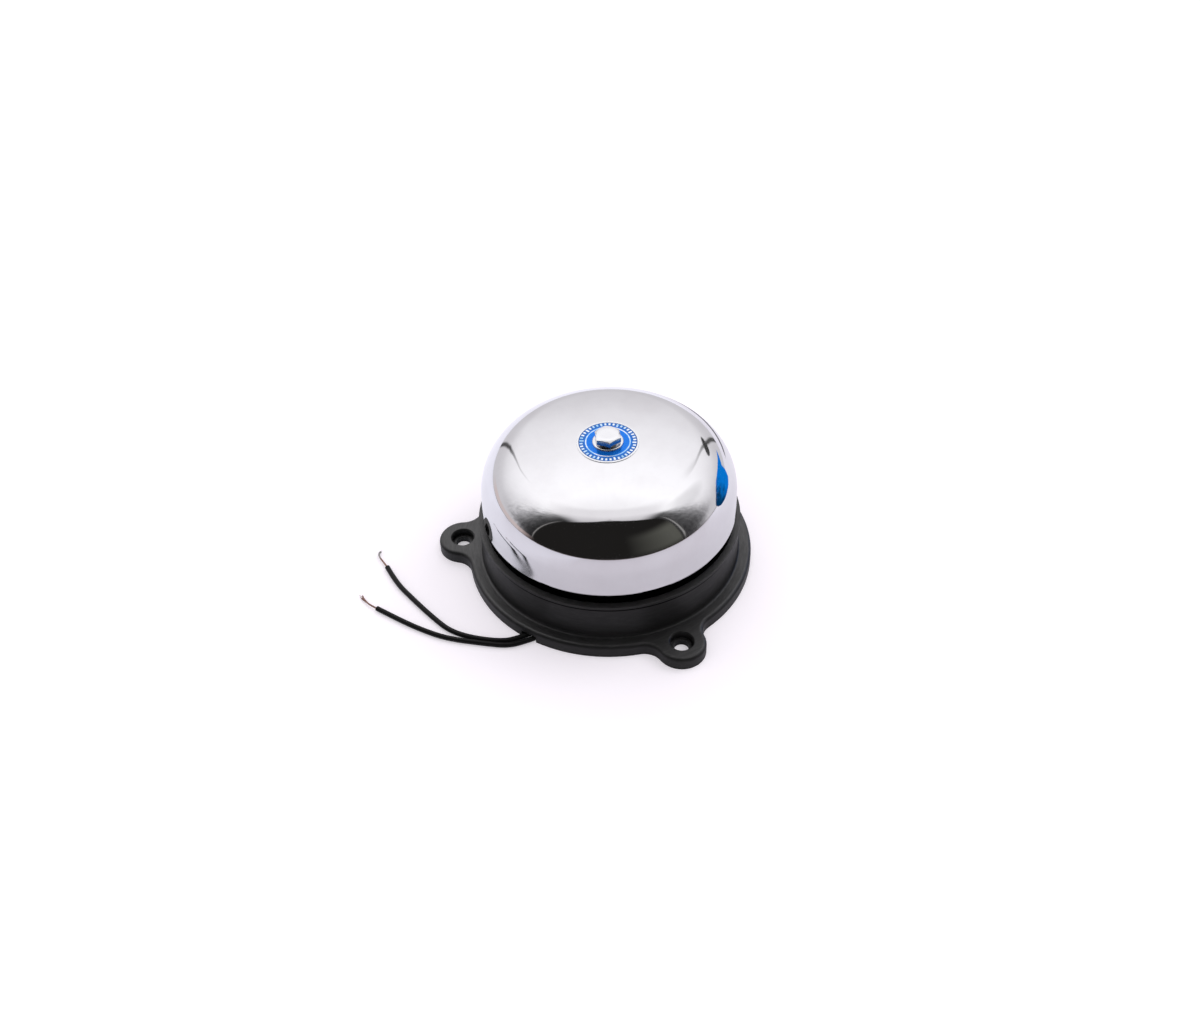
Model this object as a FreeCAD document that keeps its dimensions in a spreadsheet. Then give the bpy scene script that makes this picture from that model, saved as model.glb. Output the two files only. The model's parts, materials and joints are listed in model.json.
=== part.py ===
import FreeCAD, Part
import math
import operator
import os

import Sketcher

# Electric bell with a striker inside its gong. The back of the base lies on Z = 0 with the bell's
# axis on +Z, and the solenoid that drives the striker lies along X. Millimetres and degrees.

SIZES = {
    # gong
    "gong_radius": 37.5,
    "gong_sheet": 1.2,
    "gong_depth": 23.85,
    "gong_crown_rise": 1.65,
    "gong_lean": 0.22,
    "gong_shoulder": 14.7,
    "gong_seat_radius": 9.2,
    "gong_rim_round": 0.35,
    # what holds the gong
    "post_height": 41.0,
    "post_radius": 6.0,
    "post_rise": 3.5,
    "insert_radius": 3.0,
    "spacer_thickness": 1.4,
    "spacer_radius": 5.5,
    "disc_radius": 8.95,
    "disc_thickness": 0.2,
    "washer_radius": 4.5,
    "washer_thickness": 0.5,
    "lock_radius": 3.5,
    "lock_thickness": 0.5,
    "lock_slit": 0.7,
    "bolt_radius": 1.95,
    "bolt_length": 9.6,
    "bolt_flats": 7.0,
    "bolt_head_height": 2.0,
    "bolt_top_radius": 3.1,
    "bolt_head_bevel": 0.5,
    "bolt_turn": 42.25,
    "thread_gap": 0.05,
    "bolt_gap": 0.25,
    # base moulding
    "drum_radius": 38.5,
    "drum_wall": 2.2,
    "flange_width": 4.0,
    "flange_thickness": 4.0,
    "flange_round": 1.1,
    "rim_gap": 3.45,
    "lip_proud": 0.3,
    "lip_height": 0.9,
    "lip_wall": 2.0,
    "lip_groove": 0.3,
    "deck_recess": 1.5,
    "deck_thickness": 2.2,
    "rib_thickness": 1.6,
    "rib_height": 6.5,
    "rib_count": 6,
    "rib_turn": 30.0,
    "hat_radius": 26.0,
    "hat_draft": 0.5,
    "hat_wall": 2.2,
    "hat_roof": 2.5,
    "hat_round": 1.5,
    "fillet_radius": 0.8,
    "port_gap": 1.0,
    # mounting ears
    "ear_count": 3,
    "ear_reach": 2.5,
    "ear_radius": 7.1,
    "ear_neck": 5.5,
    "ear_hole_radius": 2.15,
    "ear_sink_radius": 3.25,
    "ear_sink_depth": 2.2,
    "ear_sink_bevel": 0.4,
    # lead outlet and clamp
    "notch_turn": 212.0,
    "notch_aside": 19.9,
    "notch_width": 4.4,
    "notch_height": 2.2,
    "clamp_angle": 248.0,
    "clamp_place": 28.0,
    "clamp_depth": 5.0,
    "clamp_width": 12.0,
    "clamp_face": 5.0,
    "clamp_plate": 1.45,
    "clamp_lead_place": 2.7,
    "clamp_screw_radius": 1.2,
    "clamp_screw_length": 7.0,
    "clamp_head_radius": 2.2,
    "clamp_head_height": 1.4,
    # solenoid
    "yoke_sheet": 1.5,
    "yoke_width": 14.0,
    "yoke_leg_tail": 8.0,
    "yoke_lug_width": 9.0,
    "yoke_bend": 1.2,
    "yoke_screw_place": 11.5,
    "yoke_screw_radius": 1.45,
    "yoke_screw_length": 5.8,
    "yoke_head_radius": 2.75,
    "yoke_head_height": 2.0,
    "screw_boss_radius": 3.5,
    "screw_boss_rise": 2.5,
    "bobbin_length": 20.8,
    "bobbin_radius": 8.8,
    "bobbin_flange": 1.0,
    "bobbin_wall": 0.75,
    "bobbin_gap": 0.1,
    "winding_radius": 8.0,
    "tape_thickness": 0.35,
    "tube_wall": 0.35,
    # striker
    "plunger_radius": 3.0,
    "plunger_gap": 0.15,
    "plunger_tail": 0.5,
    "striker_travel": 3.0,
    "travel_gap": 0.5,
    "clip_radius": 4.5,
    "clip_thickness": 1.0,
    "clip_groove": 0.4,
    "clip_mouth": 3.6,
    "spring_length": 9.0,
    "spring_radius": 3.75,
    "spring_wire": 0.5,
    "spring_turns": 6.0,
    "pad_radius": 3.4,
    "pad_thickness": 1.6,
    "pad_backing": 1.1,
    "pad_rib_width": 9.0,
    "pad_rib_drop": 15.0,
    "rest_gap": 0.1,
    "strike_gap": 0.1,
    "rod_radius": 1.5,
    "rod_in_plunger": 5.0,
    "rod_in_head": 2.5,
    "rod_gap": 0.4,
    "head_radius": 3.0,
    "head_length": 5.0,
    "head_dome": 1.1,
    "fit_gap": 0.02,
    # holes and cuts
    "screw_end_gap": 0.2,
    "cut_margin": 1.0,
    # wiring
    "lead_diameter": 1.55,
    "strands_diameter": 0.6,
    "tail_diameter": 0.8,
    "sleeve_radius": 1.35,
    "sleeve_length": 11.0,
    "diode_radius": 1.35,
    "diode_length": 5.2,
    "diode_leg_radius": 0.35,
    "diode_leg_length": 2.0,
}

# Routes of the wiring, chosen point by point. Both leads lie on the surface that the bell stands on.
LONG_LEAD = [
    (-21.4, -35.6, 0.8), (-24.0, -37.1, 0.8), (-28.4, -38.7, 0.8), (-36.8, -37.9, 0.8),
    (-44.0, -35.6, 0.8), (-49.9, -30.5, 0.8), (-57.2, -23.2, 0.8), (-63.0, -17.0, 0.8),
    (-66.8, -10.7, 0.8),
]
LONG_STRANDS = [
    (-66.8, -10.7, 0.8), (-68.2, -8.89, 0.8), (-69.6, -6.6, 0.6), (-69.9, -4.4, 0.45),
]
SHORT_LEAD = [
    (-19.5, -36.9, 0.8), (-22.1, -38.4, 0.8), (-27.0, -40.3, 0.8), (-34.6, -39.6, 0.8),
    (-44.2, -38.4, 0.8), (-51.0, -36.0, 0.8), (-58.9, -32.2, 0.8), (-66.9, -27.6, 0.8),
]
SHORT_STRANDS = [
    (-66.9, -27.6, 0.8), (-68.98, -26.6, 0.8), (-71.0, -24.6, 0.6), (-72.9, -22.5, 0.45),
]
LONG_TAIL = [
    (-21.4, -35.6, 0.8), (-18.4, -33.9, 0.8), (-15.9, -32.1, 1.4), (-14.9, -30.2, 2.9),
    (-14.27, -28.1, 4.2), (-11.49, -21.24, 4.2), (-12.1, -18.3, 5.6), (-11.6, -16.2, 7.9),
    (-9.6, -15.0, 9.5), (-6.5, -15.0, 9.5),
]
SHORT_TAIL = [
    (-19.5, -36.9, 0.8), (-16.8, -35.3, 0.8), (-13.3, -33.3, 1.3), (-10.9, -31.9, 2.8),
    (-9.26, -30.13, 4.2), (-6.49, -23.27, 4.2), (-6.6, -21.6, 4.7), (-6.1, -19.6, 5.7),
    (-4.4, -18.5, 6.8), (-1.5, -18.5, 6.8),
]
LONG_COIL_TAIL = [
    (4.5, -15.0, 9.5), (6.6, -15.0, 9.5), (9.4, -13.9, 10.6), (11.2, -11.5, 12.4),
    (11.8, -9.4, 14.0), (11.9, -7.36, 16.325), (11.9, -5.888, 17.96),
]
SHORT_COIL_TAIL = [
    (18.7, -18.5, 6.8), (20.2, -18.5, 6.8), (21.6, -16.9, 7.3), (21.0, -13.6, 8.7),
    (18.2, -9.6, 10.3), (14.4, -6.0, 11.3), (12.3, -3.9, 12.3), (11.9, -3.158, 14.172),
    (11.9, -2.573, 16.0845),
]
LONG_SLEEVE_START = LONG_TAIL[-1]
SHORT_SLEEVE_START = SHORT_TAIL[-1]

ARC_SHARE = 0.45
STRAIGHT_TURN = 0.01
TUBE_VOLUME_SLACK = 0.01
NEAR = 0.001
CROWN_GUESS = 4
SLOT_SHARE = 3


# ---- sizes ------------------------------------------------------------------------------------

def make_sheet(doc):
    """Put every driving size in a named cell of the spreadsheet."""
    sheet = doc.addObject("Spreadsheet::Sheet", "Sizes")
    for row, (name, value) in enumerate(SIZES.items(), start=1):
        sheet.set(f"A{row}", name)
        sheet.set(f"B{row}", str(value))
        sheet.setAlias(f"B{row}", name)
    doc.recompute()
    return sheet


class Size:
    """A length or angle that carries both its value and its formula over the sheet's cells."""

    OPERATIONS = {"+": operator.add, "-": operator.sub, "*": operator.mul, "/": operator.truediv}

    def __init__(self, value, formula=None):
        self.value = float(value)
        self.formula = str(value) if formula is None else formula

    def joined(self, sign, other, swapped=False):
        other = other if isinstance(other, Size) else Size(other)
        left, right = (other, self) if swapped else (self, other)
        value = self.OPERATIONS[sign](left.value, right.value)
        return Size(value, f"({left.formula} {sign} {right.formula})")

    def __add__(self, other):
        return self.joined("+", other)

    def __radd__(self, other):
        return self.joined("+", other, swapped=True)

    def __sub__(self, other):
        return self.joined("-", other)

    def __rsub__(self, other):
        return self.joined("-", other, swapped=True)

    def __mul__(self, other):
        return self.joined("*", other)

    def __rmul__(self, other):
        return self.joined("*", other, swapped=True)

    def __truediv__(self, other):
        return self.joined("/", other)

    def __neg__(self):
        return self.joined("*", -1)

    def __float__(self):
        return self.value


class SizeBook:
    """The sheet's cells as Size attributes, and the places that several pieces share."""

    def __init__(self, sheet):
        for name in SIZES:
            setattr(self, name, Size(sheet.get(name), f"Sizes.{name}"))
        self.set_heights()
        self.set_radii()
        self.set_solenoid_places()

    def set_heights(self):
        """Levels of the stack, from the back of the base up to the bolt's head."""
        self.gong_seat_under = self.post_height + self.spacer_thickness
        self.gong_top = self.gong_seat_under + self.gong_sheet
        self.rim_height = self.gong_top - self.gong_depth
        self.washer_bottom = self.gong_top + self.disc_thickness
        self.lock_bottom = self.washer_bottom + self.washer_thickness
        self.bolt_seat = self.lock_bottom + self.lock_thickness
        self.drum_top = self.rim_height - self.rim_gap
        self.lip_bottom = self.drum_top - self.lip_height
        self.deck_top = self.drum_top - self.deck_recess
        self.deck_bottom = self.deck_top - self.deck_thickness
        self.hat_top = self.post_height - self.post_rise
        self.roof_under = self.hat_top - self.hat_roof
        self.yoke_under = self.roof_under - self.yoke_sheet
        self.coil_height = self.yoke_under - self.bobbin_gap * 2 - self.bobbin_radius
        self.boss_top = self.hat_top + self.screw_boss_rise

    def set_radii(self):
        """Radii that follow from walls and clearances."""
        self.flange_radius = self.drum_radius + self.flange_width
        self.ear_circle_radius = self.flange_radius + self.ear_reach
        self.cavity_radius = self.drum_radius - self.drum_wall
        self.bolt_hole_radius = self.bolt_radius + self.bolt_gap
        self.tube_bore = self.plunger_radius + self.plunger_gap
        self.tube_radius = self.tube_bore + self.tube_wall
        self.bobbin_bore = self.tube_radius + self.fit_gap
        self.bobbin_core = self.bobbin_bore + self.bobbin_wall

    def set_solenoid_places(self):
        """Places along X, from the hat's wall behind the stop pad to the head beside the gong."""
        hat_inside = self.hat_radius - self.hat_draft - self.hat_wall
        self.pad_left = self.pad_backing - hat_inside
        self.pad_right = self.pad_left + self.pad_thickness
        self.plunger_left = self.pad_right + self.rest_gap
        self.clip_left = self.plunger_left + self.plunger_tail
        self.clip_right = self.clip_left + self.clip_thickness
        self.leg_left_outer = self.clip_right + self.spring_length
        self.leg_left = self.leg_left_outer + self.yoke_sheet
        self.leg_right = self.leg_left + self.bobbin_length + self.bobbin_gap * 2
        self.plunger_right = self.leg_right - self.travel_gap - self.striker_travel
        struck_wall = self.gong_radius - self.gong_lean - self.gong_sheet
        self.head_right = struck_wall - self.strike_gap - self.striker_travel
        self.head_left = self.head_right - self.head_length


# ---- PartDesign helpers -----------------------------------------------------------------------

def new_body(doc, label, height=None, turn=None):
    """Body with its own Placement, raised and turned about the bell's axis by sheet formulas."""
    body = doc.addObject("PartDesign::Body", label.title().replace("_", ""))
    body.Label = label
    if height is not None:
        body.setExpression("Placement.Base.z", height.formula)
    if turn is not None:
        body.setExpression("Placement.Rotation.Angle", turn.formula)
    return body


def new_sketch(body, name, role, lift=None, turn=None):
    """Sketch on one of the body's own origin planes, lifted along and turned about its normal."""
    sketch = body.newObject("Sketcher::SketchObject", name)
    plane = next(item for item in body.Origin.OriginFeatures if item.Role == role)
    sketch.AttachmentSupport = (plane, [""])
    sketch.MapMode = "FlatFace"
    if lift is not None:
        sketch.setExpression("AttachmentOffset.Base.z", lift.formula)
    if turn is not None:
        sketch.setExpression("AttachmentOffset.Rotation.Angle", turn.formula)
    return sketch


def pin_point(sketch, edge, end, place):
    """Tie one end of a sketch edge to its two coordinates."""
    for kind, axis, size in (("DistanceX", -2, place[0]), ("DistanceY", -1, place[1])):
        if not isinstance(size, Size):
            sketch.addConstraint(Sketcher.Constraint("PointOnObject", edge, end, axis))
            continue
        index = sketch.addConstraint(Sketcher.Constraint(kind, edge, end, size.value))
        sketch.setExpression(f"Constraints[{index}]", size.formula)


def flat_point(place):
    return FreeCAD.Vector(float(place[0]), float(place[1]), 0)


def add_polygon(sketch, corners):
    """Closed outline of straight edges. A coordinate is a Size, or 0 for a point on that axis."""
    first = sketch.GeometryCount
    count = len(corners)
    for index, corner in enumerate(corners):
        following = corners[(index + 1) % count]
        sketch.addGeometry(Part.LineSegment(flat_point(corner), flat_point(following)), False)
    for index, corner in enumerate(corners):
        edge = first + index
        previous = first + (index - 1) % count
        sketch.addConstraint(Sketcher.Constraint("Coincident", previous, 2, edge, 1))
        pin_point(sketch, edge, 1, corner)


def add_circle(sketch, place, radius):
    """Circle with its centre and radius tied to the sheet."""
    normal = FreeCAD.Vector(0, 0, 1)
    edge = sketch.addGeometry(Part.Circle(flat_point(place), normal, radius.value), False)
    pin_point(sketch, edge, 3, place)
    set_radius(sketch, edge, radius)


def set_radius(sketch, edge, radius):
    """Tie the radius of a circle or an arc to the sheet."""
    index = sketch.addConstraint(Sketcher.Constraint("Radius", edge, radius.value))
    sketch.setExpression(f"Constraints[{index}]", radius.formula)


def box_corners(left, right, low, high):
    return [(left, low), (right, low), (right, high), (left, high)]


def revolve(body, name, sketch, axis):
    """Full turn of a sketch about its own vertical or horizontal axis."""
    feature = body.newObject("PartDesign::Revolution", name)
    feature.Profile = sketch
    feature.ReferenceAxis = (sketch, [axis])
    feature.Angle = 360
    sketch.Visibility = False
    return feature


def extrude(body, name, sketch, length, kind="Pad", backwards=False, both_ways=False):
    """Pad or pocket of a sketch, along its normal or against it."""
    feature = body.newObject(f"PartDesign::{kind}", name)
    feature.Profile = sketch
    feature.setExpression("Length", length.formula)
    feature.Reversed = backwards
    if both_ways:
        feature.SideType = "Symmetric"
    return feature


def polar_pattern(body, name, feature, count):
    """Repeat a feature evenly about the body's Z axis."""
    pattern = body.newObject("PartDesign::PolarPattern", name)
    pattern.Originals = [feature]
    axis = next(item for item in body.Origin.OriginFeatures if item.Role == "Z_Axis")
    pattern.Axis = (axis, [""])
    pattern.Angle = 360
    pattern.setExpression("Occurrences", count.formula)
    body.Tip = pattern
    return pattern


def dress_edges(body, name, kind, size, test):
    """Fillet or chamfer the edges of the body's tip that pass a test."""
    body.Document.recompute()
    base = body.Tip
    names = [f"Edge{n}" for n, edge in enumerate(base.Shape.Edges, start=1) if test(edge)]
    if not names:
        raise ValueError(f"{body.Label}: no edge found for {name}")
    feature = body.newObject(f"PartDesign::{kind}", name)
    feature.Base = (base, names)
    feature.setExpression("Radius" if kind == "Fillet" else "Size", size.formula)
    return feature


def ring_test(*rings):
    """Test for round edges about Z, each given by its radius and height."""
    def passes(edge):
        if not isinstance(edge.Curve, Part.Circle) or abs(edge.Curve.Center.x) > NEAR:
            return False
        return any(abs(edge.Curve.Radius - float(radius)) < NEAR
                   and abs(edge.Curve.Center.z - float(height)) < NEAR
                   for radius, height in rings)
    return passes


def disc_body(doc, label, radius, bore, thickness, height):
    """Flat ring about the bell's axis: a washer, a disc or a sleeve."""
    body = new_body(doc, label, height=height)
    sketch = new_sketch(body, f"{body.Name}Face", "XY_Plane")
    add_circle(sketch, (0, 0), radius)
    add_circle(sketch, (0, 0), bore)
    extrude(body, f"{body.Name}Pad", sketch, thickness)
    return body


def turned_body(doc, label, corners, height):
    """Piece turned about the solenoid's axis from a profile of (place along X, radius)."""
    body = new_body(doc, label, height=height)
    sketch = new_sketch(body, f"{body.Name}Profile", "XZ_Plane")
    add_polygon(sketch, corners)
    revolve(body, f"{body.Name}Turn", sketch, "H_Axis")
    return body


# ---- gong and its stack -----------------------------------------------------------------------

def make_gong(doc, s):
    """Drawn sheet gong: leaning wall, round shoulder, low crown and a flat seat about the hole."""
    body = new_body(doc, "gong")
    sketch = new_sketch(body, "GongProfile", "XZ_Plane")
    wall_top = s.gong_top - s.gong_crown_rise - s.gong_shoulder
    wall_radius = s.gong_radius - s.gong_lean
    rim_centre = (0, s.rim_height)
    rim = (s.gong_radius, s.rim_height)
    wall = (wall_radius, wall_top)
    seat = (s.gong_seat_radius, s.gong_top)
    top = (0, s.gong_top)
    shoulder_centre = flat_point((wall_radius.value - s.gong_shoulder.value, wall_top.value))
    crown_radius = CROWN_GUESS * s.gong_radius.value
    crown_centre = flat_point((0, s.gong_top.value - crown_radius))
    way = shoulder_centre - crown_centre
    turn = math.atan2(way.y, way.x)
    seat_turn = math.acos(s.gong_seat_radius.value / crown_radius)
    normal = FreeCAD.Vector(0, 0, 1)
    shoulder = Part.Circle(shoulder_centre, normal, s.gong_shoulder.value)
    crown = Part.Circle(crown_centre, normal, crown_radius)
    sketch.addGeometry([
        Part.LineSegment(flat_point(rim_centre), flat_point(rim)),
        Part.LineSegment(flat_point(rim), flat_point(wall)),
        Part.ArcOfCircle(shoulder, 0, turn),
        Part.ArcOfCircle(crown, turn, seat_turn),
        Part.LineSegment(flat_point(seat), flat_point(top)),
        Part.LineSegment(flat_point(top), flat_point(rim_centre)),
    ], False)
    for first, second in ((0, 1), (3, 4), (4, 5), (5, 0)):
        sketch.addConstraint(Sketcher.Constraint("Coincident", first, 2, second, 1))
    for first, second in ((1, 2), (2, 3)):
        sketch.addConstraint(Sketcher.Constraint("Tangent", first, 2, second, 1))
    for edge, place in ((0, rim_centre), (1, rim), (4, seat), (5, top)):
        pin_point(sketch, edge, 1, place)
    pin_point(sketch, 1, 2, wall)
    set_radius(sketch, 2, s.gong_shoulder)
    sketch.addConstraint(Sketcher.Constraint("PointOnObject", 3, 3, -2))
    revolve(body, "GongForm", sketch, "V_Axis")
    doc.recompute()

    form = body.Tip
    mouth = next(f"Face{n}" for n, face in enumerate(form.Shape.Faces, start=1)
                 if abs(face.CenterOfMass.z - s.rim_height.value) < NEAR)
    shell = body.newObject("PartDesign::Thickness", "GongSheet")
    shell.Base = (form, [mouth])
    shell.Reversed = True
    shell.setExpression("Value", s.gong_sheet.formula)
    hole = new_sketch(body, "GongHole", "XY_Plane", lift=s.gong_top + s.cut_margin)
    add_circle(hole, (0, 0), s.bolt_hole_radius)
    extrude(body, "GongHolePocket", hole, s.gong_sheet + s.cut_margin * 2, kind="Pocket")
    rings = ring_test((s.gong_radius, s.rim_height))
    dress_edges(body, "GongRimRound", "Fillet", s.gong_rim_round, rings)
    return body


def make_lock_washer(doc, s):
    """Split ring under the bolt's head."""
    body = disc_body(doc, "lock_washer", s.lock_radius, s.bolt_hole_radius, s.lock_thickness,
                     s.lock_bottom)
    slit = new_sketch(body, "LockSlit", "XY_Plane")
    half = s.lock_slit / 2
    add_polygon(slit, box_corners(s.bolt_radius, s.lock_radius + s.cut_margin, -half, half))
    extrude(body, "LockSlitPocket", slit, s.lock_thickness, kind="Pocket", backwards=True)
    return body


def make_gong_bolt(doc, s):
    """Hexagon bolt, its head's corners bevelled all round."""
    body = new_body(doc, "gong_bolt", height=s.bolt_seat, turn=s.bolt_turn)
    head = new_sketch(body, "BoltHead", "XY_Plane")
    corner = s.bolt_flats / math.sqrt(3)
    half = s.bolt_flats / 2
    add_polygon(head, [(corner, 0), (corner / 2, half), (-corner / 2, half), (-corner, 0),
                       (-corner / 2, -half), (corner / 2, -half)])
    extrude(body, "BoltHeadPad", head, s.bolt_head_height)
    shank = new_sketch(body, "BoltShank", "XY_Plane")
    add_circle(shank, (0, 0), s.bolt_radius)
    extrude(body, "BoltShankPad", shank, s.bolt_length, backwards=True)
    bevel = new_sketch(body, "BoltBevel", "XZ_Plane")
    outside = corner + s.cut_margin
    top = s.bolt_head_height
    slope = s.bolt_head_bevel / (corner - s.bolt_top_radius)
    foot = top - (outside - s.bolt_top_radius) * slope
    add_polygon(bevel, [(s.bolt_top_radius, top), (outside, top), (outside, foot)])
    groove = body.newObject("PartDesign::Groove", "BoltBevelGroove")
    groove.Profile = bevel
    groove.ReferenceAxis = (bevel, ["V_Axis"])
    groove.Angle = 360
    return body


# ---- base moulding ----------------------------------------------------------------------------

def make_housing(doc, s):
    """One moulding: eared flange, drum, sunk deck, and the hat that carries coil and gong."""
    body = new_body(doc, "housing")
    add_housing_form(body, s)
    add_ears(body, s)
    add_seats(body, s)
    cut_openings(body, s)
    return body


def add_housing_form(body, s):
    """Turned form of the moulding, open at the back."""
    lip_outer = s.drum_radius + s.lip_proud
    groove_radius = s.drum_radius - s.lip_groove
    groove_bottom = s.lip_bottom - s.lip_groove
    lip_inner = lip_outer - s.lip_wall
    hat_top_radius = s.hat_radius - s.hat_draft
    sketch = new_sketch(body, "HousingProfile", "XZ_Plane")
    add_polygon(sketch, [
        (s.cavity_radius, 0),
        (s.flange_radius, 0),
        (s.flange_radius, s.flange_thickness),
        (s.drum_radius, s.flange_thickness),
        (s.drum_radius, groove_bottom),
        (groove_radius, groove_bottom),
        (groove_radius, s.lip_bottom),
        (lip_outer, s.lip_bottom),
        (lip_outer, s.drum_top),
        (lip_inner, s.drum_top),
        (lip_inner, s.deck_top),
        (s.hat_radius, s.deck_top),
        (hat_top_radius, s.hat_top),
        (s.post_radius, s.hat_top),
        (s.post_radius, s.post_height),
        (s.insert_radius, s.post_height),
        (s.insert_radius, s.roof_under),
        (hat_top_radius - s.hat_wall, s.roof_under),
        (s.hat_radius - s.hat_wall, s.deck_bottom),
        (s.cavity_radius, s.deck_bottom),
    ])
    revolve(body, "HousingForm", sketch, "V_Axis")
    inner_corners = ring_test((s.hat_radius, s.deck_top), (s.post_radius, s.hat_top))
    dress_edges(body, "HousingRootFillets", "Fillet", s.fillet_radius, inner_corners)
    shoulder = ring_test((hat_top_radius, s.hat_top))
    dress_edges(body, "HatRound", "Fillet", s.hat_round, shoulder)


def add_ears(body, s):
    """Three drilled ears that flow into the flange, and the flange's rounded upper edge."""
    outline = new_sketch(body, "EarOutline", "XY_Plane")
    add_circle(outline, (-s.ear_circle_radius, 0), s.ear_radius)
    ear = extrude(body, "EarPad", outline, s.flange_thickness)
    polar_pattern(body, "Ears", ear, s.ear_count)

    def neck_corner(edge):
        upright = isinstance(edge.Curve, Part.Line) and abs(edge.tangentAt(0).z) > 1 - NEAR
        middle = edge.CenterOfMass
        meets_flange = abs(math.hypot(middle.x, middle.y) - s.flange_radius.value) < NEAR
        full_height = abs(edge.Length - s.flange_thickness.value) < NEAR
        return upright and meets_flange and full_height

    def outer_top(edge):
        box = edge.BoundBox
        top = s.flange_thickness.value
        level = abs(box.ZMin - top) < NEAR and abs(box.ZMax - top) < NEAR
        middle = edge.valueAt((edge.FirstParameter + edge.LastParameter) / 2)
        return level and math.hypot(middle.x, middle.y) > s.flange_radius.value - NEAR

    dress_edges(body, "EarNecks", "Fillet", s.ear_neck, neck_corner)
    dress_edges(body, "FlangeRound", "Fillet", s.flange_round, outer_top)
    foot = ring_test((s.drum_radius, s.flange_thickness))
    dress_edges(body, "DrumFoot", "Fillet", s.fillet_radius, foot)

    hole = new_sketch(body, "EarHole", "XY_Plane")
    add_circle(hole, (-s.ear_circle_radius, 0), s.ear_hole_radius)
    drilled = extrude(body, "EarHolePocket", hole, s.flange_thickness, "Pocket", backwards=True)
    polar_pattern(body, "EarHoles", drilled, s.ear_count)

    sink = new_sketch(body, "EarSink", "XY_Plane", lift=s.flange_thickness)
    add_circle(sink, (-s.ear_circle_radius, 0), s.ear_sink_radius)
    sunk = extrude(body, "EarSinkPocket", sink, s.ear_sink_depth, "Pocket")
    polar_pattern(body, "EarSinks", sunk, s.ear_count)

    def sink_mouth(edge):
        if not isinstance(edge.Curve, Part.Circle):
            return False
        radius_fits = abs(edge.Curve.Radius - s.ear_sink_radius.value) < NEAR
        return radius_fits and abs(edge.Curve.Center.z - s.flange_thickness.value) < NEAR

    dress_edges(body, "EarSinkBevels", "Chamfer", s.ear_sink_bevel, sink_mouth)


def add_seats(body, s):
    """Ribs under the deck, the block that the lead clamp screws to, and the hat's inner seats."""
    half_rib = s.rib_thickness / 2
    rib_bottom = s.deck_bottom - s.rib_height
    rib = new_sketch(body, "DeckRib", "XY_Plane", lift=rib_bottom, turn=s.rib_turn)
    rib_start = s.hat_radius - s.hat_wall / 2
    rib_end = s.cavity_radius + s.drum_wall / 2
    add_polygon(rib, box_corners(rib_start, rib_end, -half_rib, half_rib))
    rib_pad = extrude(body, "DeckRibPad", rib, s.rib_height + s.deck_thickness / 2)
    polar_pattern(body, "DeckRibs", rib_pad, s.rib_count)

    block = new_sketch(body, "ClampBlock", "XY_Plane", lift=s.clamp_face, turn=s.clamp_angle)
    near_side = s.clamp_place - s.clamp_depth / 2
    far_side = s.clamp_place + s.clamp_depth / 2
    half_width = s.clamp_width / 2
    add_polygon(block, box_corners(near_side, far_side, -half_width, half_width))
    to_deck = s.deck_bottom + s.deck_thickness / 2 - s.clamp_face
    extrude(body, "ClampBlockPad", block, to_deck)

    bosses = new_sketch(body, "ScrewBosses", "XY_Plane", lift=s.hat_top - s.hat_roof / 2)
    for side in (1, -1):
        add_circle(bosses, (0, s.yoke_screw_place * side), s.screw_boss_radius)
    extrude(body, "ScrewBossPads", bosses, s.screw_boss_rise + s.hat_roof / 2)

    pad_rib = new_sketch(body, "StopRib", "XY_Plane", lift=s.roof_under - s.pad_rib_drop)
    half_stop = s.pad_rib_width / 2
    wall_middle = -(s.hat_radius - s.hat_draft - s.hat_wall / 2)
    add_polygon(pad_rib, box_corners(wall_middle, s.pad_left, -half_stop, half_stop))
    extrude(body, "StopRibPad", pad_rib, s.pad_rib_drop + s.hat_roof / 2)


def cut_openings(body, s):
    """Screw holes, the striker's port through the hat and the notch that lets the leads out."""
    screws = new_sketch(body, "YokeScrewHoles", "XY_Plane", lift=s.roof_under)
    pilot = s.yoke_screw_radius + s.thread_gap
    for side in (1, -1):
        add_circle(screws, (0, s.yoke_screw_place * side), pilot)
    depth = s.yoke_screw_length - s.yoke_sheet + s.screw_end_gap
    extrude(body, "YokeScrewHolePockets", screws, depth, "Pocket", backwards=True)

    clamp = new_sketch(body, "ClampScrewHole", "XY_Plane", lift=s.clamp_face, turn=s.clamp_angle)
    add_circle(clamp, (s.clamp_place, 0), s.clamp_screw_radius + s.thread_gap)
    clamp_depth = s.clamp_screw_length - s.lead_diameter - s.clamp_plate + s.screw_end_gap
    extrude(body, "ClampScrewHolePocket", clamp, clamp_depth, "Pocket", backwards=True)

    port = new_sketch(body, "StrikerPort", "YZ_Plane")
    add_circle(port, (0, s.coil_height), s.head_radius + s.port_gap)
    extrude(body, "StrikerPortPocket", port, s.hat_radius + s.cut_margin, "Pocket",
            backwards=True)

    notch = new_sketch(body, "LeadNotch", "XY_Plane", turn=s.notch_turn)
    half = s.notch_width / 2
    outer = s.flange_radius + s.cut_margin
    add_polygon(notch, box_corners(0, outer, s.notch_aside - half, s.notch_aside + half))
    extrude(body, "LeadNotchPocket", notch, s.notch_height, "Pocket", backwards=True)


# ---- solenoid ---------------------------------------------------------------------------------

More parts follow.
